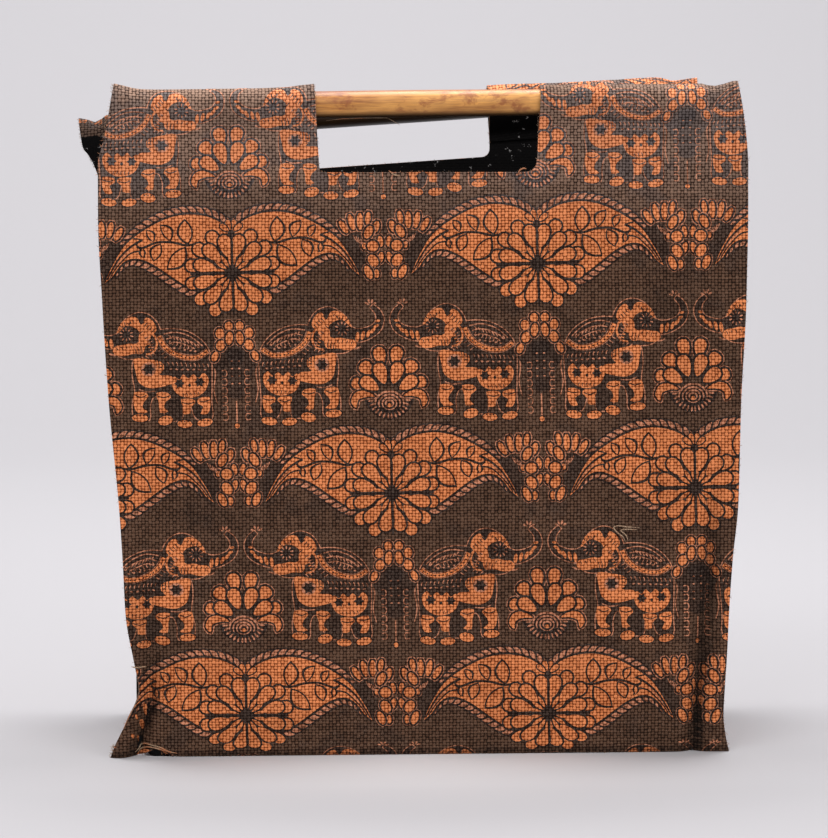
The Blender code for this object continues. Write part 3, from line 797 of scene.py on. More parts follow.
class Gusset:
    """The strip, laid out flat as (across, along): down the left side, over the base, up the right."""

    outward = 1

    def __init__(self, front, back):
        self.front, self.back = front, back
        self.low = BASE_CORNER + CLOTH / 2
        self.side_run = GUSSET_TOP - self.low
        self.bend_run = BASE_CORNER * math.pi / 2
        self.base_run = self.wall(1, self.low, 0.0) - self.wall(-1, self.low, 0.0) - 2 * BASE_CORNER
        self.length = 2 * (self.side_run + self.bend_run) + self.base_run

    def inner_face(self, panel, x, z):
        """How far from the bag's middle the strip may reach beside a panel."""
        step = 1.8
        beside = [panel.standoff(x + k * step, z) for k in (-2, -1, 0, 1, 2)]
        steepest = np.max([np.abs(b - a) for a, b in zip(beside, beside[1:])], axis=0) / step
        return beside[2] - CLOTH / 2 * np.hypot(1, steepest) - GAP - SEAM_REACH

    def wall(self, side, z, q):
        """x of the strip's left or right side; q goes from -1 at the front to 1 at the back."""
        left = side < 0
        front, back = self.front.seam(left, z)[0], self.back.seam(left, z)[0]
        fold = smooth(GUSSET_FOLD, z, 1 if left else 2) * (1 - np.abs(q) ** GUSSET_FOLD_POWER)
        return front + (back - front) * (q + 1) / 2 - side * fold

    def painted_shade(self, across, along):
        return 0.0 * across

    def place(self, across, along):
        """Where a point of the flat strip goes, in the same frame as a panel's."""
        q = across / (GUSSET_WIDTH / 2)
        on_left = along < self.length / 2
        gone = np.where(on_left, along, self.length - along)
        a = np.clip((gone - self.side_run) / BASE_CORNER, 0, math.pi / 2)
        z_wall = np.maximum(GUSSET_TOP - gone, self.low)
        wall = np.where(on_left, self.wall(-1, z_wall, q), self.wall(1, z_wall, q))
        x_bend = wall + np.where(on_left, 1.0, -1.0) * BASE_CORNER * (1 - np.cos(a))
        start, end = self.wall(-1, self.low, q) + BASE_CORNER, self.wall(1, self.low, q) - BASE_CORNER
        share = np.clip((along - self.side_run - self.bend_run) / self.base_run, 0, 1)
        base = gone > self.side_run + self.bend_run
        x = np.where(base, start + (end - start) * share, x_bend)
        z = np.where(base, CLOTH / 2, np.where(a > 0, self.low - BASE_CORNER * np.sin(a), z_wall))
        panels = (self.front, self.back)
        seams = [np.where(on_left, p.seam(True, z_wall)[0], p.seam(False, z_wall)[0]) for p in panels]
        beside = [np.where(base | (a > 0), x, seam) for seam in seams]
        near, far = (self.inner_face(p, at, z) for p, at in zip(panels, beside))
        return np.stack([x, -near + (far + near) * (q + 1) / 2, z], -1)

    def outline(self):
        half = GUSSET_WIDTH / 2
        along = np.arange(0, self.length, EDGE_STEP)[1:]
        across = np.linspace(-half, half, 37)
        return np.concatenate([
            np.stack([across, across * 0], 1),
            np.stack([along * 0 + half, along], 1),
            np.stack([across[::-1], across * 0 + self.length], 1),
            np.stack([along * 0 - half, along], 1)[::-1],
        ])


# Printing and laying out


def inside(polygon, points):
    """Which points lie inside a polygon."""
    x, y = points[:, 0], points[:, 1]
    hit = np.zeros(len(points), bool)
    for (x0, y0), (x1, y1) in zip(polygon, np.roll(polygon, -1, 0)):
        if y0 != y1:
            hit ^= ((y0 > y) != (y1 > y)) & (x < (x1 - x0) * (y - y0) / (y1 - y0) + x0)
    return hit


def printed(shapes, middle, lo, hi, upside_down=False, pressed=False):
    """The print's shapes on a flat cloth, in millimetres, around the flower whose middle is given."""
    reach = (np.array((lo, hi)) - middle) / PRINT_UNIT
    sign = -1 if upside_down else 1
    out = []
    for x, y in repeats(*(reach * sign)[::sign]):
        for ink, shape in shapes:
            a, b = shape[:, 0] + x, shape[:, 1] + y
            u = a + PRINT_LEAN * b
            v = b + (PRINT_TILT + PRINT_SHEAR * b) * a
            p = np.stack([middle[0] + sign * PRINT_UNIT * u, middle[1] + sign * PRINT_UNIT * v], 1)
            if pressed:
                p[:, 1] += np.maximum(PRESSED_BELOW - p[:, 1], 0) * (1 - PRESSED_TO)
            if (p.max(0) > lo).all() and (p.min(0) < hi).all():
                out.append((ink, p))
    return out


def triangulate(outline, loops, points):
    """Triangles over the outline that follow every loop's edges: corners, faces, and which points of the
    outline each corner was."""
    verts, edges = [], []
    for loop in (outline, *loops):
        start = len(verts)
        verts += [Vector(p) for p in loop]
        edges += [(start + i, start + (i + 1) % len(loop)) for i in range(len(loop))]
    verts += [Vector(p) for p in points]
    found, _, faces, origin, _, _ = delaunay_2d_cdt(verts, edges, [], 0, MERGED_WITHIN)
    flat = np.array([tuple(v) for v in found])
    faces = np.array([f for f in faces if len(f) == 3])
    area = np.cross(flat[faces[:, 1]] - flat[faces[:, 0]], flat[faces[:, 2]] - flat[faces[:, 0]])
    faces = np.where((area < 0)[:, None], faces[:, ::-1], faces)
    kept = inside(outline, flat[faces].mean(1)) & (np.abs(area) > 1e-9)
    used, faces = np.unique(faces[kept], return_inverse=True)
    return flat[used], faces.reshape(-1, 3), [origin[i] for i in used]


def rim_of(faces):
    """The edge of a triangulated sheet, as one loop of its corners in order."""
    pairs = np.concatenate([faces[:, [0, 1]], faces[:, [1, 2]], faces[:, [2, 0]]])
    there = {(int(a), int(b)) for a, b in pairs}
    following = {a: b for a, b in there if (b, a) not in there}
    start = next(iter(following))
    loop = [start]
    while following[loop[-1]] != start:
        loop.append(following[loop[-1]])
    return loop


def ink_faces(middles, shapes):
    """The ink on each face: the last shape that covers its middle."""
    order = np.argsort(middles[:, 0])
    xs = middles[order, 0]
    ink = np.zeros(len(middles), int)
    for kind, shape in shapes:
        first, last = np.searchsorted(xs, (shape[:, 0].min(), shape[:, 0].max()))
        near = order[first:last]
        y = middles[near, 1]
        near = near[(y > shape[:, 1].min()) & (y < shape[:, 1].max())]
        if len(near):
            ink[near[inside(shape, middles[near])]] = kind
    return ink


def unit(vectors):
    return vectors / np.maximum(np.linalg.norm(vectors, axis=-1, keepdims=True), 1e-9)


def lay(form, flat):
    """Where points of the flat cloth go, and which way its printed face looks there."""
    across, along = np.transpose(flat)
    step = 0.05
    du = form.place(across + step, along) - form.place(across - step, along)
    dv = form.place(across, along + step) - form.place(across, along - step)
    return form.place(across, along), unit(np.cross(du, dv) * form.outward)


def add_object(name, points, faces, material=None):
    """A smooth mesh in the scene, from points in metres."""
    mesh = bpy.data.meshes.new(name)
    mesh.from_pydata(points, [], faces)
    mesh.shade_smooth()
    if material:
        mesh.materials.append(material)
    obj = bpy.data.objects.new(name, mesh)
    bpy.context.scene.collection.objects.link(obj)
    return obj


def flap_tone(form, middles, ink, shade):
    """Ends the print past the crest of the casing's left end, and paints shade on the cloth there."""
    x, s = middles.T
    beyond = s - form.plain_top(x)
    flap = x < FLAP
    ink[flap & (beyond > FLAP_BARE_FROM)] = GROUND
    mottled = flap & (beyond > FLAP_MOTTLED[0]) & (beyond < FLAP_MOTTLED[1])
    ink[mottled & (np.sin(x * 1.9) + np.sin(s * 2.7) > 0.1)] = ORANGE
    shade[flap & (beyond > FLAP_SHADED_FROM)] = FLAP_SHADE


def sheet(name, form, shapes, spacing, film_from=None):
    """A cloth sheet: its printed face, its laminated face and the cut edge between them. The printed
    face is film too from film_from past the plain panel."""
    outline = form.outline()
    axes = [np.arange(lo, hi, step) for lo, hi, step in zip(outline.min(0), outline.max(0), spacing)]
    grid = np.stack(np.meshgrid(*axes), -1).reshape(-1, 2)
    flat, faces, _ = triangulate(outline, [p for _, p in shapes], grid)
    middles = flat[faces].mean(1)
    ink = ink_faces(middles, shapes)
    rim = rim_of(faces)
    flat_in, faces_in, origin = triangulate(flat[rim], [], grid)
    where = {k: i for i, was in enumerate(origin) for k in was if k < len(rim)}
    rim_in = np.array([where[k] for k in range(len(rim))]) + len(flat)

    (mid, normal), (mid_in, normal_in) = lay(form, flat), lay(form, flat_in)
    points = np.concatenate([mid + normal * CLOTH / 2, mid_in - normal_in * CLOTH / 2]) + MIDDLE
    a, b, c, d = np.array(rim), np.roll(rim, -1), rim_in, np.roll(rim_in, -1)
    edge = np.concatenate([np.stack([b, a, c], 1), np.stack([b, c, d], 1)])
    back = faces_in + len(flat)
    if form.outward < 0:
        faces, edge = faces[:, ::-1], edge[:, ::-1]
    else:
        back = back[:, ::-1]
    every = np.concatenate([faces, back, edge])
    obj = add_object(name, (points * MM).tolist(), every.tolist())
    mesh = obj.data

    count, both_faces = len(faces), len(faces) + len(back)
    kinds = np.repeat((0, 1, 2), (count, len(back), len(edge)))
    shade = np.zeros(len(every))
    shade[:count] = form.painted_shade(*middles.T)
    if film_from is not None:
        kinds[:count][middles[:, 1] - form.plain_top(middles[:, 0]) > film_from] = 1
        flap_tone(form, middles, ink, shade[:count])
    colour = np.zeros((len(every), 4))
    colour[:, 3] = 1
    colour[:count, :3] = np.array(INK_COVER)[ink]
    mesh.polygons.foreach_set("material_index", kinds)
    layer = mesh.color_attributes.new("ink", "FLOAT_COLOR", "CORNER")
    layer.data.foreach_set("color", np.repeat(colour, 3, axis=0).ravel())
    # The painted shade of each face
    mesh.attributes.new("painted_shade", "FLOAT", "FACE").data.foreach_set("value", shade)
    at = np.concatenate([flat, flat_in])
    mesh.uv_layers.new(name="weave").data.foreach_set("uv", (at[every.ravel()] * MM).ravel())
    p = points[edge]
    soft = np.concatenate([normal, -normal_in])[every]
    soft[both_faces:] = unit(np.cross(p[:, 1] - p[:, 0], p[:, 2] - p[:, 0]))[:, None]
    mesh.normals_split_custom_set(soft.reshape(-1, 3).tolist())
    return obj


# Materials


def operator(operation, swapped=False):
    def apply(self, other):
        return self.nodes.math(operation, *((other, self) if swapped else (self, other)))

    return apply


class Value:
    """A shader value that can be reckoned with like a number."""

    __add__, __sub__, __rsub__ = operator("ADD"), operator("SUBTRACT"), operator("SUBTRACT", swapped=True)
    __mul__, __truediv__ = operator("MULTIPLY"), operator("DIVIDE")

    def __init__(self, nodes, socket):
        self.nodes, self.socket = nodes, socket


class Nodes:
    """Short ways to write shader nodes."""

    def __init__(self, name):
        self.material = bpy.data.materials.new(name)
        self.material.use_nodes = True
        self.tree = self.material.node_tree
        self.shader = self.tree.nodes["Principled BSDF"]

    def put(self, node, values):
        """Fills a node's sockets, by number or name, with constants or other nodes' values."""
        for key, value in values.items():
            if isinstance(value, Value):
                self.tree.links.new(value.socket, node.inputs[key])
            else:
                node.inputs[key].default_value = value

    def node(self, kind, values, output=0, **given):
        node = self.tree.nodes.new("ShaderNode" + kind)
        for key, value in given.items():
            setattr(node, key, value)
        self.put(node, values)
        return Value(self, node.outputs[output])

    def math(self, operation, *values, clamp=False):
        return self.node("Math", dict(enumerate(values)), operation=operation, use_clamp=clamp)

    def vector(self, *values):
        return self.node("CombineXYZ", dict(enumerate(values)))

    def split(self, kind, value):
        """The three parts of a vector or a colour."""
        return [Value(self, socket) for socket in self.node(kind, {0: value}).socket.node.outputs]

    def here(self):
        return self.node("TexCoord", {}, "Object")

    def scaled(self, vector, scale, shift=(0, 0, 0)):
        return self.node("Mapping", {"Vector": vector, "Location": shift, "Scale": scale})

    def mix(self, factor, a, b, blend="MIX"):
        """Mixes two colours; a colour's sockets come after those for numbers and vectors."""
        a, b = (c if isinstance(c, Value) else (*c, 1) for c in (a, b))
        return self.node("Mix", {0: factor, 6: a, 7: b}, 2, data_type="RGBA", blend_type=blend)

    def noise(self, vector, scale, detail=2, roughness=0.5, distortion=0):
        return self.node("TexNoise", {"Vector": vector, "Scale": scale, "Detail": detail,
                                      "Roughness": roughness, "Distortion": distortion})

    def ramp(self, factor, low, high, to_low=0, to_high=1):
        """Goes smoothly from to_low to to_high while the factor goes from low to high."""
        return self.node("MapRange", {"Value": factor, "From Min": low, "From Max": high, "To Min": to_low,
                                      "To Max": to_high}, interpolation_type="SMOOTHSTEP")

    def bump(self, height, distance, strength=1):
        return self.node("Bump", {"Height": height, "Distance": distance * MM, "Strength": strength})

    def finished(self, **looks):
        self.put(self.shader, {key.replace("_", " "): value for key, value in looks.items()})
        return self.material


# Cloth and ink in the gaps of the weave and on the crowns of its yarns, low on the bag and near its top.
# The darker gaps are partly painted shade, and the lighter colours near the top are painted light, a sheen
# of the light from above
LOW_GROUND = ((0.0120, 0.0048, 0.0024), (0.118, 0.057, 0.0315))
LIT_TOP_GROUND = ((0.024, 0.0105, 0.0062), (0.270, 0.152, 0.100))
LOW_DARK = ((0.0065, 0.0025, 0.0015), (0.044, 0.024, 0.017))
LIT_TOP_DARK = ((0.016, 0.010, 0.009), (0.080, 0.062, 0.062))
TOP_SHEEN = ((0, 0, 0), (0.060, 0.050, 0.044))
ORANGE_INK = ((0.150, 0.026, 0.004), (0.825, 0.262, 0.090))
PALE_INK = ((0.110, 0.032, 0.012), (0.640, 0.250, 0.135))
# Painted highlight: pale glints added on the lightest yarn crowns
GLINT = (0.095, 0.085, 0.072)
# From where to where along the cloth the colours change to the painted light near the top, in metres
TOP_LIGHT_SPAN = (0.300, 0.372)


def weave(n):
    """Plain weave on the flat cloth: its place, how high a thread's crown is, 0 in the gaps and 1 on top,
    the streaks of the yarns, and a chance value of each crossing and of each yarn."""
    uv = n.node("UVMap", {}, uv_map="weave")
    x, y, _ = n.split("SeparateXYZ", uv)
    shift = (n.noise(uv, 55) - 0.5) * YARN_WANDER
    across, along = (x + shift) / (WARP_PITCH * MM), (y + shift) / (WEFT_PITCH * MM)
    i, j = n.math("FLOOR", across), n.math("FLOOR", along)
    fx, fz = across - i - 0.5, along - j - 0.5
    warp = n.math("GREATER_THAN", n.math("ABSOLUTE", n.math("MODULO", i + j, 2)), 0.5)
    # The warp's crown sits low in its crossing; where colour is read from it, its darker top end is painted
    # shade under the weft above
    fx2, fz2, dive = fx * fx, fz * fz, fz + 0.16
    warp_crown = 1 - (fx2 * 2.5 + dive * dive * 1.9)
    weft_crown = 1 - (fz2 * 2.0 + fx2 * 1.5)
    crown = n.math("ADD", weft_crown, warp * (warp_crown * 0.96 - weft_crown), clamp=True)
    speck, yarn = (n.node("TexWhiteNoise", {"Vector": n.vector(*cell)}, noise_dimensions="2D")
                   for cell in ((i, j), (i * warp, j * (1 - warp))))
    rows, columns = n.vector(across * 0.04, j), n.vector(i, along * 0.05)
    streak = (n.noise(rows, 0.83, 1) + n.noise(columns, 0.83, 1)) * 0.5
    return uv, crown, streak, speck, yarn


def burlap_material():
    n = Nodes("Printed burlap")
    uv, crown, streak, speck, yarn = weave(n)
    orange, black, pale = n.split("SeparateColor", n.node("Attribute", {}, "Color", attribute_name="ink"))
    # The painted shade of each face, which darkens the colour at the end
    painted_shade = n.node("Attribute", {}, "Fac", attribute_name="painted_shade")
    fibre, patch, smear = n.noise(uv, 2600, 2, 0.6), n.noise(uv, 16, 3, 0.6), n.noise(uv, 42, 3, 0.62)
    # How far into the painted light near the top a place is
    top_light = n.ramp(n.split("SeparateXYZ", uv)[1], *TOP_LIGHT_SPAN)
    # Painted shade and light of the weave: darker in the gaps and at the top of each warp crossing, lighter
    # on the crowns, with the yarns' own streaks and tones
    light = n.ramp(crown + (speck - 0.5) * 0.34, 0.22, 0.92) * 0.90
    light = light + (streak - 0.5) * 0.60 + (yarn - 0.5) * 0.20
    light = n.math("ADD", light, (fibre - 0.5) * 0.55, clamp=True)

    ground = n.mix(top_light * 0.8, n.mix(light, *LOW_GROUND), n.mix(light, *LIT_TOP_GROUND))
    dark = n.mix(top_light, n.mix(light, *LOW_DARK), n.mix(light, *LIT_TOP_DARK))
    ground = n.mix(n.ramp(smear * 0.65 + patch * 0.35, 0.50, 0.62) * 0.55, ground, dark)
    colour = n.mix(orange, ground, n.mix(light, *ORANGE_INK))
    colour = n.mix(pale * n.ramp(speck, 0.05, 0.45, 0.62, 1), colour, n.mix(light, *PALE_INK))
    colour = n.mix(black * n.ramp(crown, 0, 0.5, 0.92, 0.99), colour, dark)
    # Painted sheen of the light from above, added near the top
    colour = n.mix(top_light * 0.9, colour, n.mix(light, *TOP_SHEEN), "ADD")
    # Painted highlights on the lightest yarn crowns
    colour = n.mix(n.ramp(light, 0.62, 1) * n.ramp(fibre, 0.50, 0.66), colour, GLINT, "ADD")
    tone = n.ramp(patch, 0.30, 0.72, 0.88, 1.10) * (1 - painted_shade)
    return n.finished(
        Base_Color=n.mix(1, colour, n.vector(tone, tone, tone), "MULTIPLY"),
        Roughness=n.ramp(crown, 0, 1, 0.95, 0.78),
        Specular_IOR_Level=0.12,
        Normal=n.bump(crown + fibre * 0.25, 0.55, 0.9),
    )


def film_material():
    n = Nodes("Black lamination")
    uv, crown, _, speck, _ = weave(n)
    worn = n.noise(uv, 150, 3, 0.7)
    dots = n.ramp(speck, 0.93, 0.96) * n.ramp(n.noise(uv, 900, 1), 0.52, 0.6) * n.ramp(worn, 0.46, 0.60)
    return n.finished(
        Base_Color=n.mix(dots * 0.95, (0.0022, 0.0017, 0.0018), (0.42, 0.40, 0.39)),
        Roughness=n.ramp(worn, 0.3, 0.7, 0.55, 0.72),
        Specular_IOR_Level=0.09,
        Normal=n.bump(crown, 0.22, 0.5),
    )


def raw_edge_material():
    n = Nodes("Cut edge")
    strands = n.noise(n.here(), 900, 2, 0.7)
    colour = n.mix(n.ramp(strands, 0.3, 0.7), (0.018, 0.010, 0.007), (0.26, 0.145, 0.085))
    colour = n.mix(n.ramp(n.noise(n.here(), 120), 0.5, 0.62), colour, (0.36, 0.13, 0.055))
    return n.finished(Base_Color=colour, Roughness=0.92, Normal=n.bump(strands, 0.3))


def yarn_material():
    n = Nodes("Jute yarn")
    strands = n.noise(n.here(), 1400, 2, 0.6)
    colour = n.mix(n.ramp(strands, 0.3, 0.7), (0.130, 0.070, 0.040), (0.520, 0.360, 0.230))
    colour = n.mix(n.ramp(n.noise(n.here(), 90), 0.50, 0.60, 0, 0.8), colour, (0.420, 0.150, 0.060))
    return n.finished(Base_Color=colour, Roughness=0.9, Normal=n.bump(strands, 0.15))


def wood_material(name, shade_below):
    """Golden cane with reddish stains, and painted shade on its underside, below a height from its axis
    that is given for each dowel.
    """
    n = Nodes(name)
    grain, fine, tone, stain = (n.noise(n.scaled(n.here(), (stretch, 1, 1)), *row) for stretch, *row in (
        (0.05, 620, 4, 0.62, 0.4), (0.05, 2600, 2, 0.6), (0.30, 62, 3, 0.6), (0.62, 84, 4, 0.72, 0.5)))
    height = n.split("SeparateXYZ", n.here())[2]
    colour = n.mix(n.ramp(grain, 0.30, 0.70), (0.225, 0.068, 0.012), (0.600, 0.255, 0.054))
    for factor, over in (
        (n.ramp(tone, 0.35, 0.68, 0, 0.60), (0.820, 0.410, 0.110)),
        (n.ramp(stain, 0.51, 0.66, 0, 0.70), (0.220, 0.044, 0.012)),
        (n.ramp(fine, 0.35, 0.60, 0.22, 0), (0.170, 0.066, 0.022)),
        (n.ramp(height, 6.2 * MM, 7.8 * MM, 0, 0.55), (0.210, 0.045, 0.016)),
        # Painted shade on the underside
        (n.ramp(height, (shade_below - 4.0) * MM, shade_below * MM, 0.97, 0), (0.012, 0.006, 0.003)),
    ):
        colour = n.mix(factor, colour, over)
    return n.finished(
        Base_Color=colour,
        Roughness=n.ramp(grain, 0.3, 0.7, 0.50, 0.36),
        Specular_IOR_Level=0.45,
        Normal=n.bump(grain, 0.12, 0.6),
    )


def floor_material():
    """Pale grey that is whiter in a soft pool at the foot of the bag's front: partly the whiter board the
    bag stands on, partly painted light that lifts the bag's shade on the floor.
    """
    n = Nodes("Pale floor")
    board_and_painted_light = n.node("TexGradient", {0: n.scaled(n.here(), (3.3, 5.2, 1), (0, 0.4056, 0))},
                  gradient_type="QUADRATIC_SPHERE")
    return n.finished(Base_Color=n.mix(board_and_painted_light, (0.368, 0.357, 0.371), (0.880, 0.850, 0.860)), Roughness=0.85)


# Building


front = Panel(
    side=-1, outward=1, edges=FRONT_EDGES, depth=FRONT_DEPTH, seams=(FRONT_LEFT_SEAM, FRONT_RIGHT_SEAM),
    slack=FRONT_SLACK, folds=FRONT_FOLDS, lift=FRONT_LIFT, dowel=FRONT_DOWEL, hole=FRONT_HOLE,
    valleys=(LEFT_VALLEY_SHADE, RIGHT_VALLEY_SHADE), smudges=FRONT_DARK_PATCHES,
)
back = Panel(
    side=1, outward=-1, edges=BACK_EDGES, depth=BACK_DEPTH, seams=(BACK_LEFT_SEAM, BACK_RIGHT_SEAM),
    slack=BACK_SLACK, folds=BACK_FOLDS, lift=BACK_LIFT, dowel=BACK_DOWEL, hole=BACK_HOLE,
    valleys=(), smudges=BACK_DARK_PATCHES,
)
gusset = Gusset(front, back)

burlap, film, raw_edge, yarn_look = burlap_material(), film_material(), raw_edge_material(), yarn_material()
# The back dowel's copy has its painted shade reaching higher, above its axis, than the front dowel's
front_wood, back_wood = wood_material("Front dowel wood", -3.4), wood_material("Back dowel wood", 4.5)
shapes = motif()


def cloth_piece(name, form, middle, spacing, film_from=None, upside_down=False, extra=()):
    """Prints, lays out and dresses one cloth piece; middle is a printed flower's place on it."""
    outline = form.outline()
    pressed = form is not gusset
    found = printed(shapes, middle, outline.min(0), outline.max(0), upside_down, pressed) + list(extra)
    obj = sheet(name, form, found, spacing, film_from)
    for material in (burlap, film, film if form is gusset else raw_edge):
        obj.data.materials.append(material)
    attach(obj, "root")
    return obj


corner_print = [(ORANGE, oval(*place, 9)) for place in CORNER_PRINT]
front_cloth = cloth_piece("panel_front_cloth", front, PRINT_ON_FRONT, (5.0, 4.0),
                          FILM_FROM, extra=corner_print)
back_cloth = cloth_piece("panel_back_cloth", back, PRINT_ON_BACK, (5.0, 4.0),
                         FILM_FROM)
side_cloth = cloth_piece("gusset_cloth", gusset, PRINT_ON_GUSSET, (6.0, 5.0),
                         upside_down=True)
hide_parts("panel_front")
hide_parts("panel_back")
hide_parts("gusset")


def skin(rings, sides, first=0):
    """Faces of a closed tube of rings of points; first tells at which corner each side face starts."""
    faces = []
    for k in range(rings - 1):
        for m in range(sides):
            p, q = k * sides + m, k * sides + (m + 1) % sides
            face = (p, p + sides, q + sides, q)
            faces.append(face[first:] + face[:first])
    return [*faces, tuple(range(sides)), tuple(range((rings - 1) * sides, rings * sides))[::-1]]


def dowel(name, panel, node, wood):
    """A smooth wooden dowel, very slightly uneven along its length."""
    middle, height, rise = panel.dowel
    tip = np.array([0.0, 0.2, 0.7, 1.4])
    along = np.concatenate([tip, np.linspace(4, DOWEL_LENGTH - 4, 90), DOWEL_LENGTH - tip[::-1]])
    end = np.minimum(along, DOWEL_LENGTH - along)
    radius = DOWEL_RADIUS - 1.2 * np.clip(1 - end / tip[-1], 0, 1) ** 1.8
    radius = radius - 0.10 * (1 + np.sin(along / 23.0 + 2 * panel.side)) * np.clip(end / 8, 0, 1)
    a = np.tile(np.linspace(0, 2 * math.pi, DOWEL_SIDES, endpoint=False), len(along))
    x, r = np.repeat(along - DOWEL_LENGTH / 2, DOWEL_SIDES), np.repeat(radius, DOWEL_SIDES)
    points = np.stack([x, r * np.cos(a), r * np.sin(a)], 1) * MM
    obj = add_object(name, points.tolist(), skin(len(along), DOWEL_SIDES, 1), wood)
    obj.data.set_sharp_from_angle(angle=math.radians(50))
    y = panel.side * (panel.casing_standoff() - CASING_OFFSET)
    obj.location = ((middle + MIDDLE[0]) * MM, (float(y) + MIDDLE[1]) * MM, height * MM)
    obj.rotation_euler = (0.0, -math.atan(rise), 0.0)
    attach(obj, "root")
    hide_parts(node)


dowel("dowel_front_wood", front, "dowel_front", front_wood)
dowel("dowel_back_wood", back, "dowel_back", back_wood)


# Loose yarns and frayed edges


def tube(path, radius, sides=5):
    """Points and faces of a thin round thread that tapers at both ends."""
    path = np.array(path, float)
    ahead = np.gradient(path, axis=0)
    ahead /= np.linalg.norm(ahead, axis=1)[:, None]
    one = np.cross(ahead, (0.31, 0.23, 0.92))
    one /= np.linalg.norm(one, axis=1)[:, None]
    two = np.cross(ahead, one)
    share = np.linspace(0, 1, len(path))
    r = radius * (0.35 + 0.65 * np.clip(6 * np.minimum(share, 1 - share), 0, 1))
    turns = [(math.cos(a), math.sin(a)) for a in (2 * math.pi * m / sides for m in range(sides))]
    points = [path[k] + r[k] * (c * one[k] + s * two[k]) for k in range(len(path)) for c, s in turns]
    return points, skin(len(path), sides)


def on_cloth(form, flat, lift):
    """Points lifted off a sheet's printed face, in millimetres in the bag's frame."""
    middle, normal = lay(form, flat)
    lift = CLOTH / 2 + np.broadcast_to(lift, len(middle))
    return middle + normal * lift[:, None] + MIDDLE


def fibres(form, fray):
    """Short stray fibres along the cut edge. Each row of fray tells where, how many and how long."""
    outline = form.outline()
    run = np.roll(outline, -1, axis=0) - outline
    ahead = unit(run)
    outward = np.stack([ahead[:, 1], -ahead[:, 0]], 1)
    here = on_cloth(form, outline, -CLOTH / 2)
    away = unit(here - on_cloth(form, outline - outward, -CLOTH / 2))
    on = unit(here - on_cloth(form, outline - ahead, -CLOTH / 2))
    above = unit(on_cloth(form, outline, 1.0) - here)
    steps = np.linspace(0, 1, 4)[:, None]
    found = []
    for wanted, count, longest in fray:
        edge = [k for k, p in enumerate(outline) if wanted(*p) and np.hypot(*run[k]) < LONGEST_EDGE]
        for k in rng.choice(edge, count):
            base = here[k] + (here[(k + 1) % len(here)] - here[k]) * rng.random()
            base = base + above[k] * CLOTH * (rng.random() - 0.5)
            length = longest * (0.35 + 0.65 * rng.random())
            lean, bend, lift = rng.normal(0, 0.5, 3)
            start, turn = away[k] + lean * on[k], bend * on[k] + lift * above[k]
            path = base + length * (steps * start + steps ** 2 * turn)
            path[:, 2] = np.maximum(path[:, 2], 0.15)
            found.append(tube(path, 0.09 + 0.05 * rng.random(), 3))
    return found


def threads(name, form, yarns, fray, hanging=()):
    """All loose yarns, hanging threads and fibres of one panel, as one piece."""
    parts = []
    for yarn in yarns:
        at, fine = np.linspace(0, 1, len(yarn)), np.linspace(0, 1, 6 * len(yarn))
        x, s, lift = (smooth(np.stack([at, column], 1), fine) for column in np.array(yarn).T)
        parts.append(tube(on_cloth(form, np.stack([x, s], 1), lift), PULLED_RADIUS))
    parts += [tube(np.array(path) + MIDDLE, HANGING_RADIUS) for path in hanging]
    parts += fibres(form, fray)
    points, faces = [], []
    for some, many in parts:
        faces += [tuple(i + len(points) for i in face) for face in many]
        points += [tuple(p * MM) for p in some]
    obj = add_object(name, points, faces, yarn_look)
    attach(obj, "root")


# Where fibres stick out, across and along the flat panel, how many and how long
FRONT_FRAY = (
    (lambda x, s: s > 345 and -75 < x < 80, 90, 1.0),
    (lambda x, s: s < 4, 130, 1.8),
    (lambda x, s: abs(x) > 165, 150, 1.5),
    (lambda x, s: x < -178 and s < 9, 110, 2.4),
    (lambda x, s: x < -180 and s > 380, 30, 2.0),
)
BACK_FRAY = (
    (lambda x, s: s > 343 and -90 < x < 60, 90, 1.1),
    (lambda x, s: s < 4, 110, 1.8),
    (lambda x, s: abs(x) > 165, 30, 1.1),
    (lambda x, s: x < -190 and s > 385, 40, 1.2),
)
threads("panel_front_threads", front, PULLED_YARNS + TURNED_EDGE, FRONT_FRAY, (HANGING_THREAD,))
threads("panel_back_threads", back, (), BACK_FRAY)


# Stage


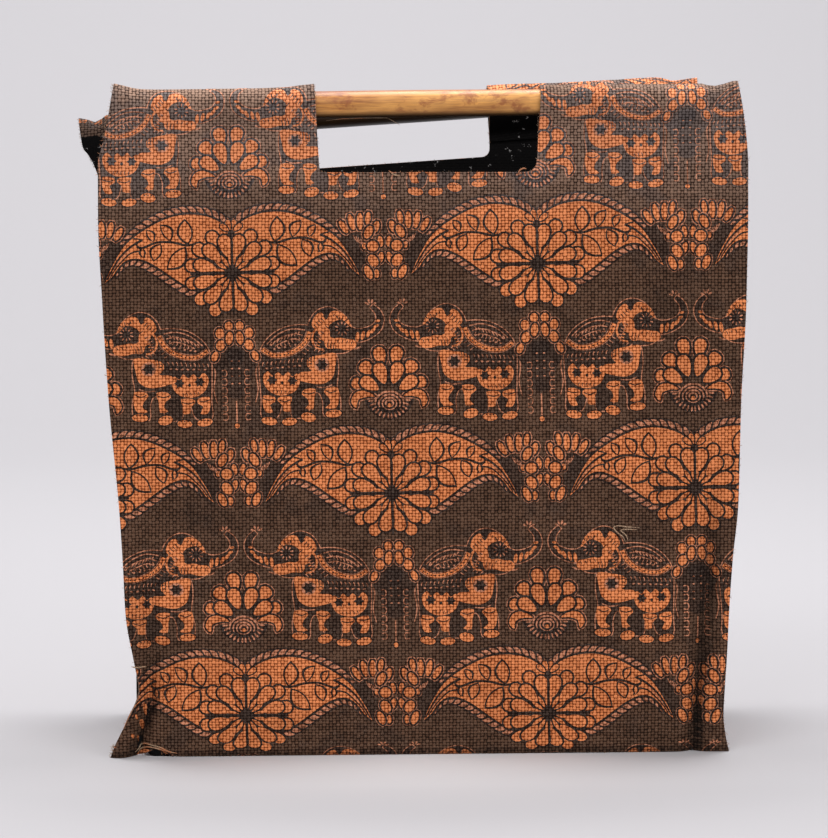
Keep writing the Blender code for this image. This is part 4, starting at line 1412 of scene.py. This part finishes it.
def stage():
    """A pale floor that bends up into a backdrop far behind the bag."""
    turns = np.radians(np.linspace(0, 90, 13))
    bend = [(STAGE_BEND + STAGE_BEND * math.sin(a), STAGE_BEND - STAGE_BEND * math.cos(a)) for a in turns]
    section = [(-STAGE_REACH, 0.0), *bend, (2 * STAGE_BEND, STAGE_REACH)]
    points = [(x, y, z) for y, z in section for x in (-STAGE_REACH, STAGE_REACH)]
    faces = [(2 * k, 2 * k + 1, 2 * k + 3, 2 * k + 2) for k in range(len(section) - 1)]
    floor = add_object("floor", points, faces, floor_material())


def aim(name, data, place, target):
    """Puts a light or the camera in the scene so that it looks at its target."""
    obj = bpy.data.objects.new(name, data)
    obj.location = place
    obj.rotation_euler = (Vector(target) - Vector(place)).to_track_quat("-Z", "Y").to_euler()
    bpy.context.scene.collection.objects.link(obj)
    return obj


# The stage, in metres: how far it reaches, and the radius of its bend, which is also where it starts
STAGE_REACH = 9.0
STAGE_BEND = 1.6
SKY = (0.93, 0.93, 0.95, 1)
SKY_STRENGTH = 0.54
CAMERA_PLACE = (-0.1129, -2.2547, 0.4155)
CAMERA_TARGET = (0.0017, -0.0682, 0.2008)
CAMERA_LENS = 161.0

# Soft lights: name, place, target, width and height, power
LIGHTS = (
    ("key", (-0.55, -1.15, 1.45), (0, 0, 0.34), (0.9, 0.7), 11),
    ("top", (0.0, 0.12, 1.75), (0.0, 0.06, 0.0), (1.4, 0.30), 21),
    ("fill", (1.6, -2.3, 1.2), (0, 0, 0.2), (1.5, 1.2), 26),
    ("back", (0.0, 1.2, 2.8), (0, 2.2, 0.4), (3.0, 1.5), 112),
)

stage()
for name, place, target, size, power in LIGHTS:
    data = bpy.data.lights.new(name, "AREA")
    data.shape = "RECTANGLE"
    data.size, data.size_y = size
    data.energy = power
    aim(name, data, place, target)
world = bpy.data.worlds.new("Studio")
world.use_nodes = True
sky = world.node_tree.nodes["Background"].inputs
sky["Color"].default_value = SKY
sky["Strength"].default_value = SKY_STRENGTH

scene = bpy.context.scene
scene.world = world
scene.view_settings.view_transform = "Standard"
camera_data = bpy.data.cameras.new("camera")
camera_data.sensor_fit = "HORIZONTAL"
camera_data.sensor_width = 36.0
camera_data.lens = CAMERA_LENS
camera_data.clip_start = 0.05
scene.camera = aim("camera", camera_data, CAMERA_PLACE, CAMERA_TARGET)
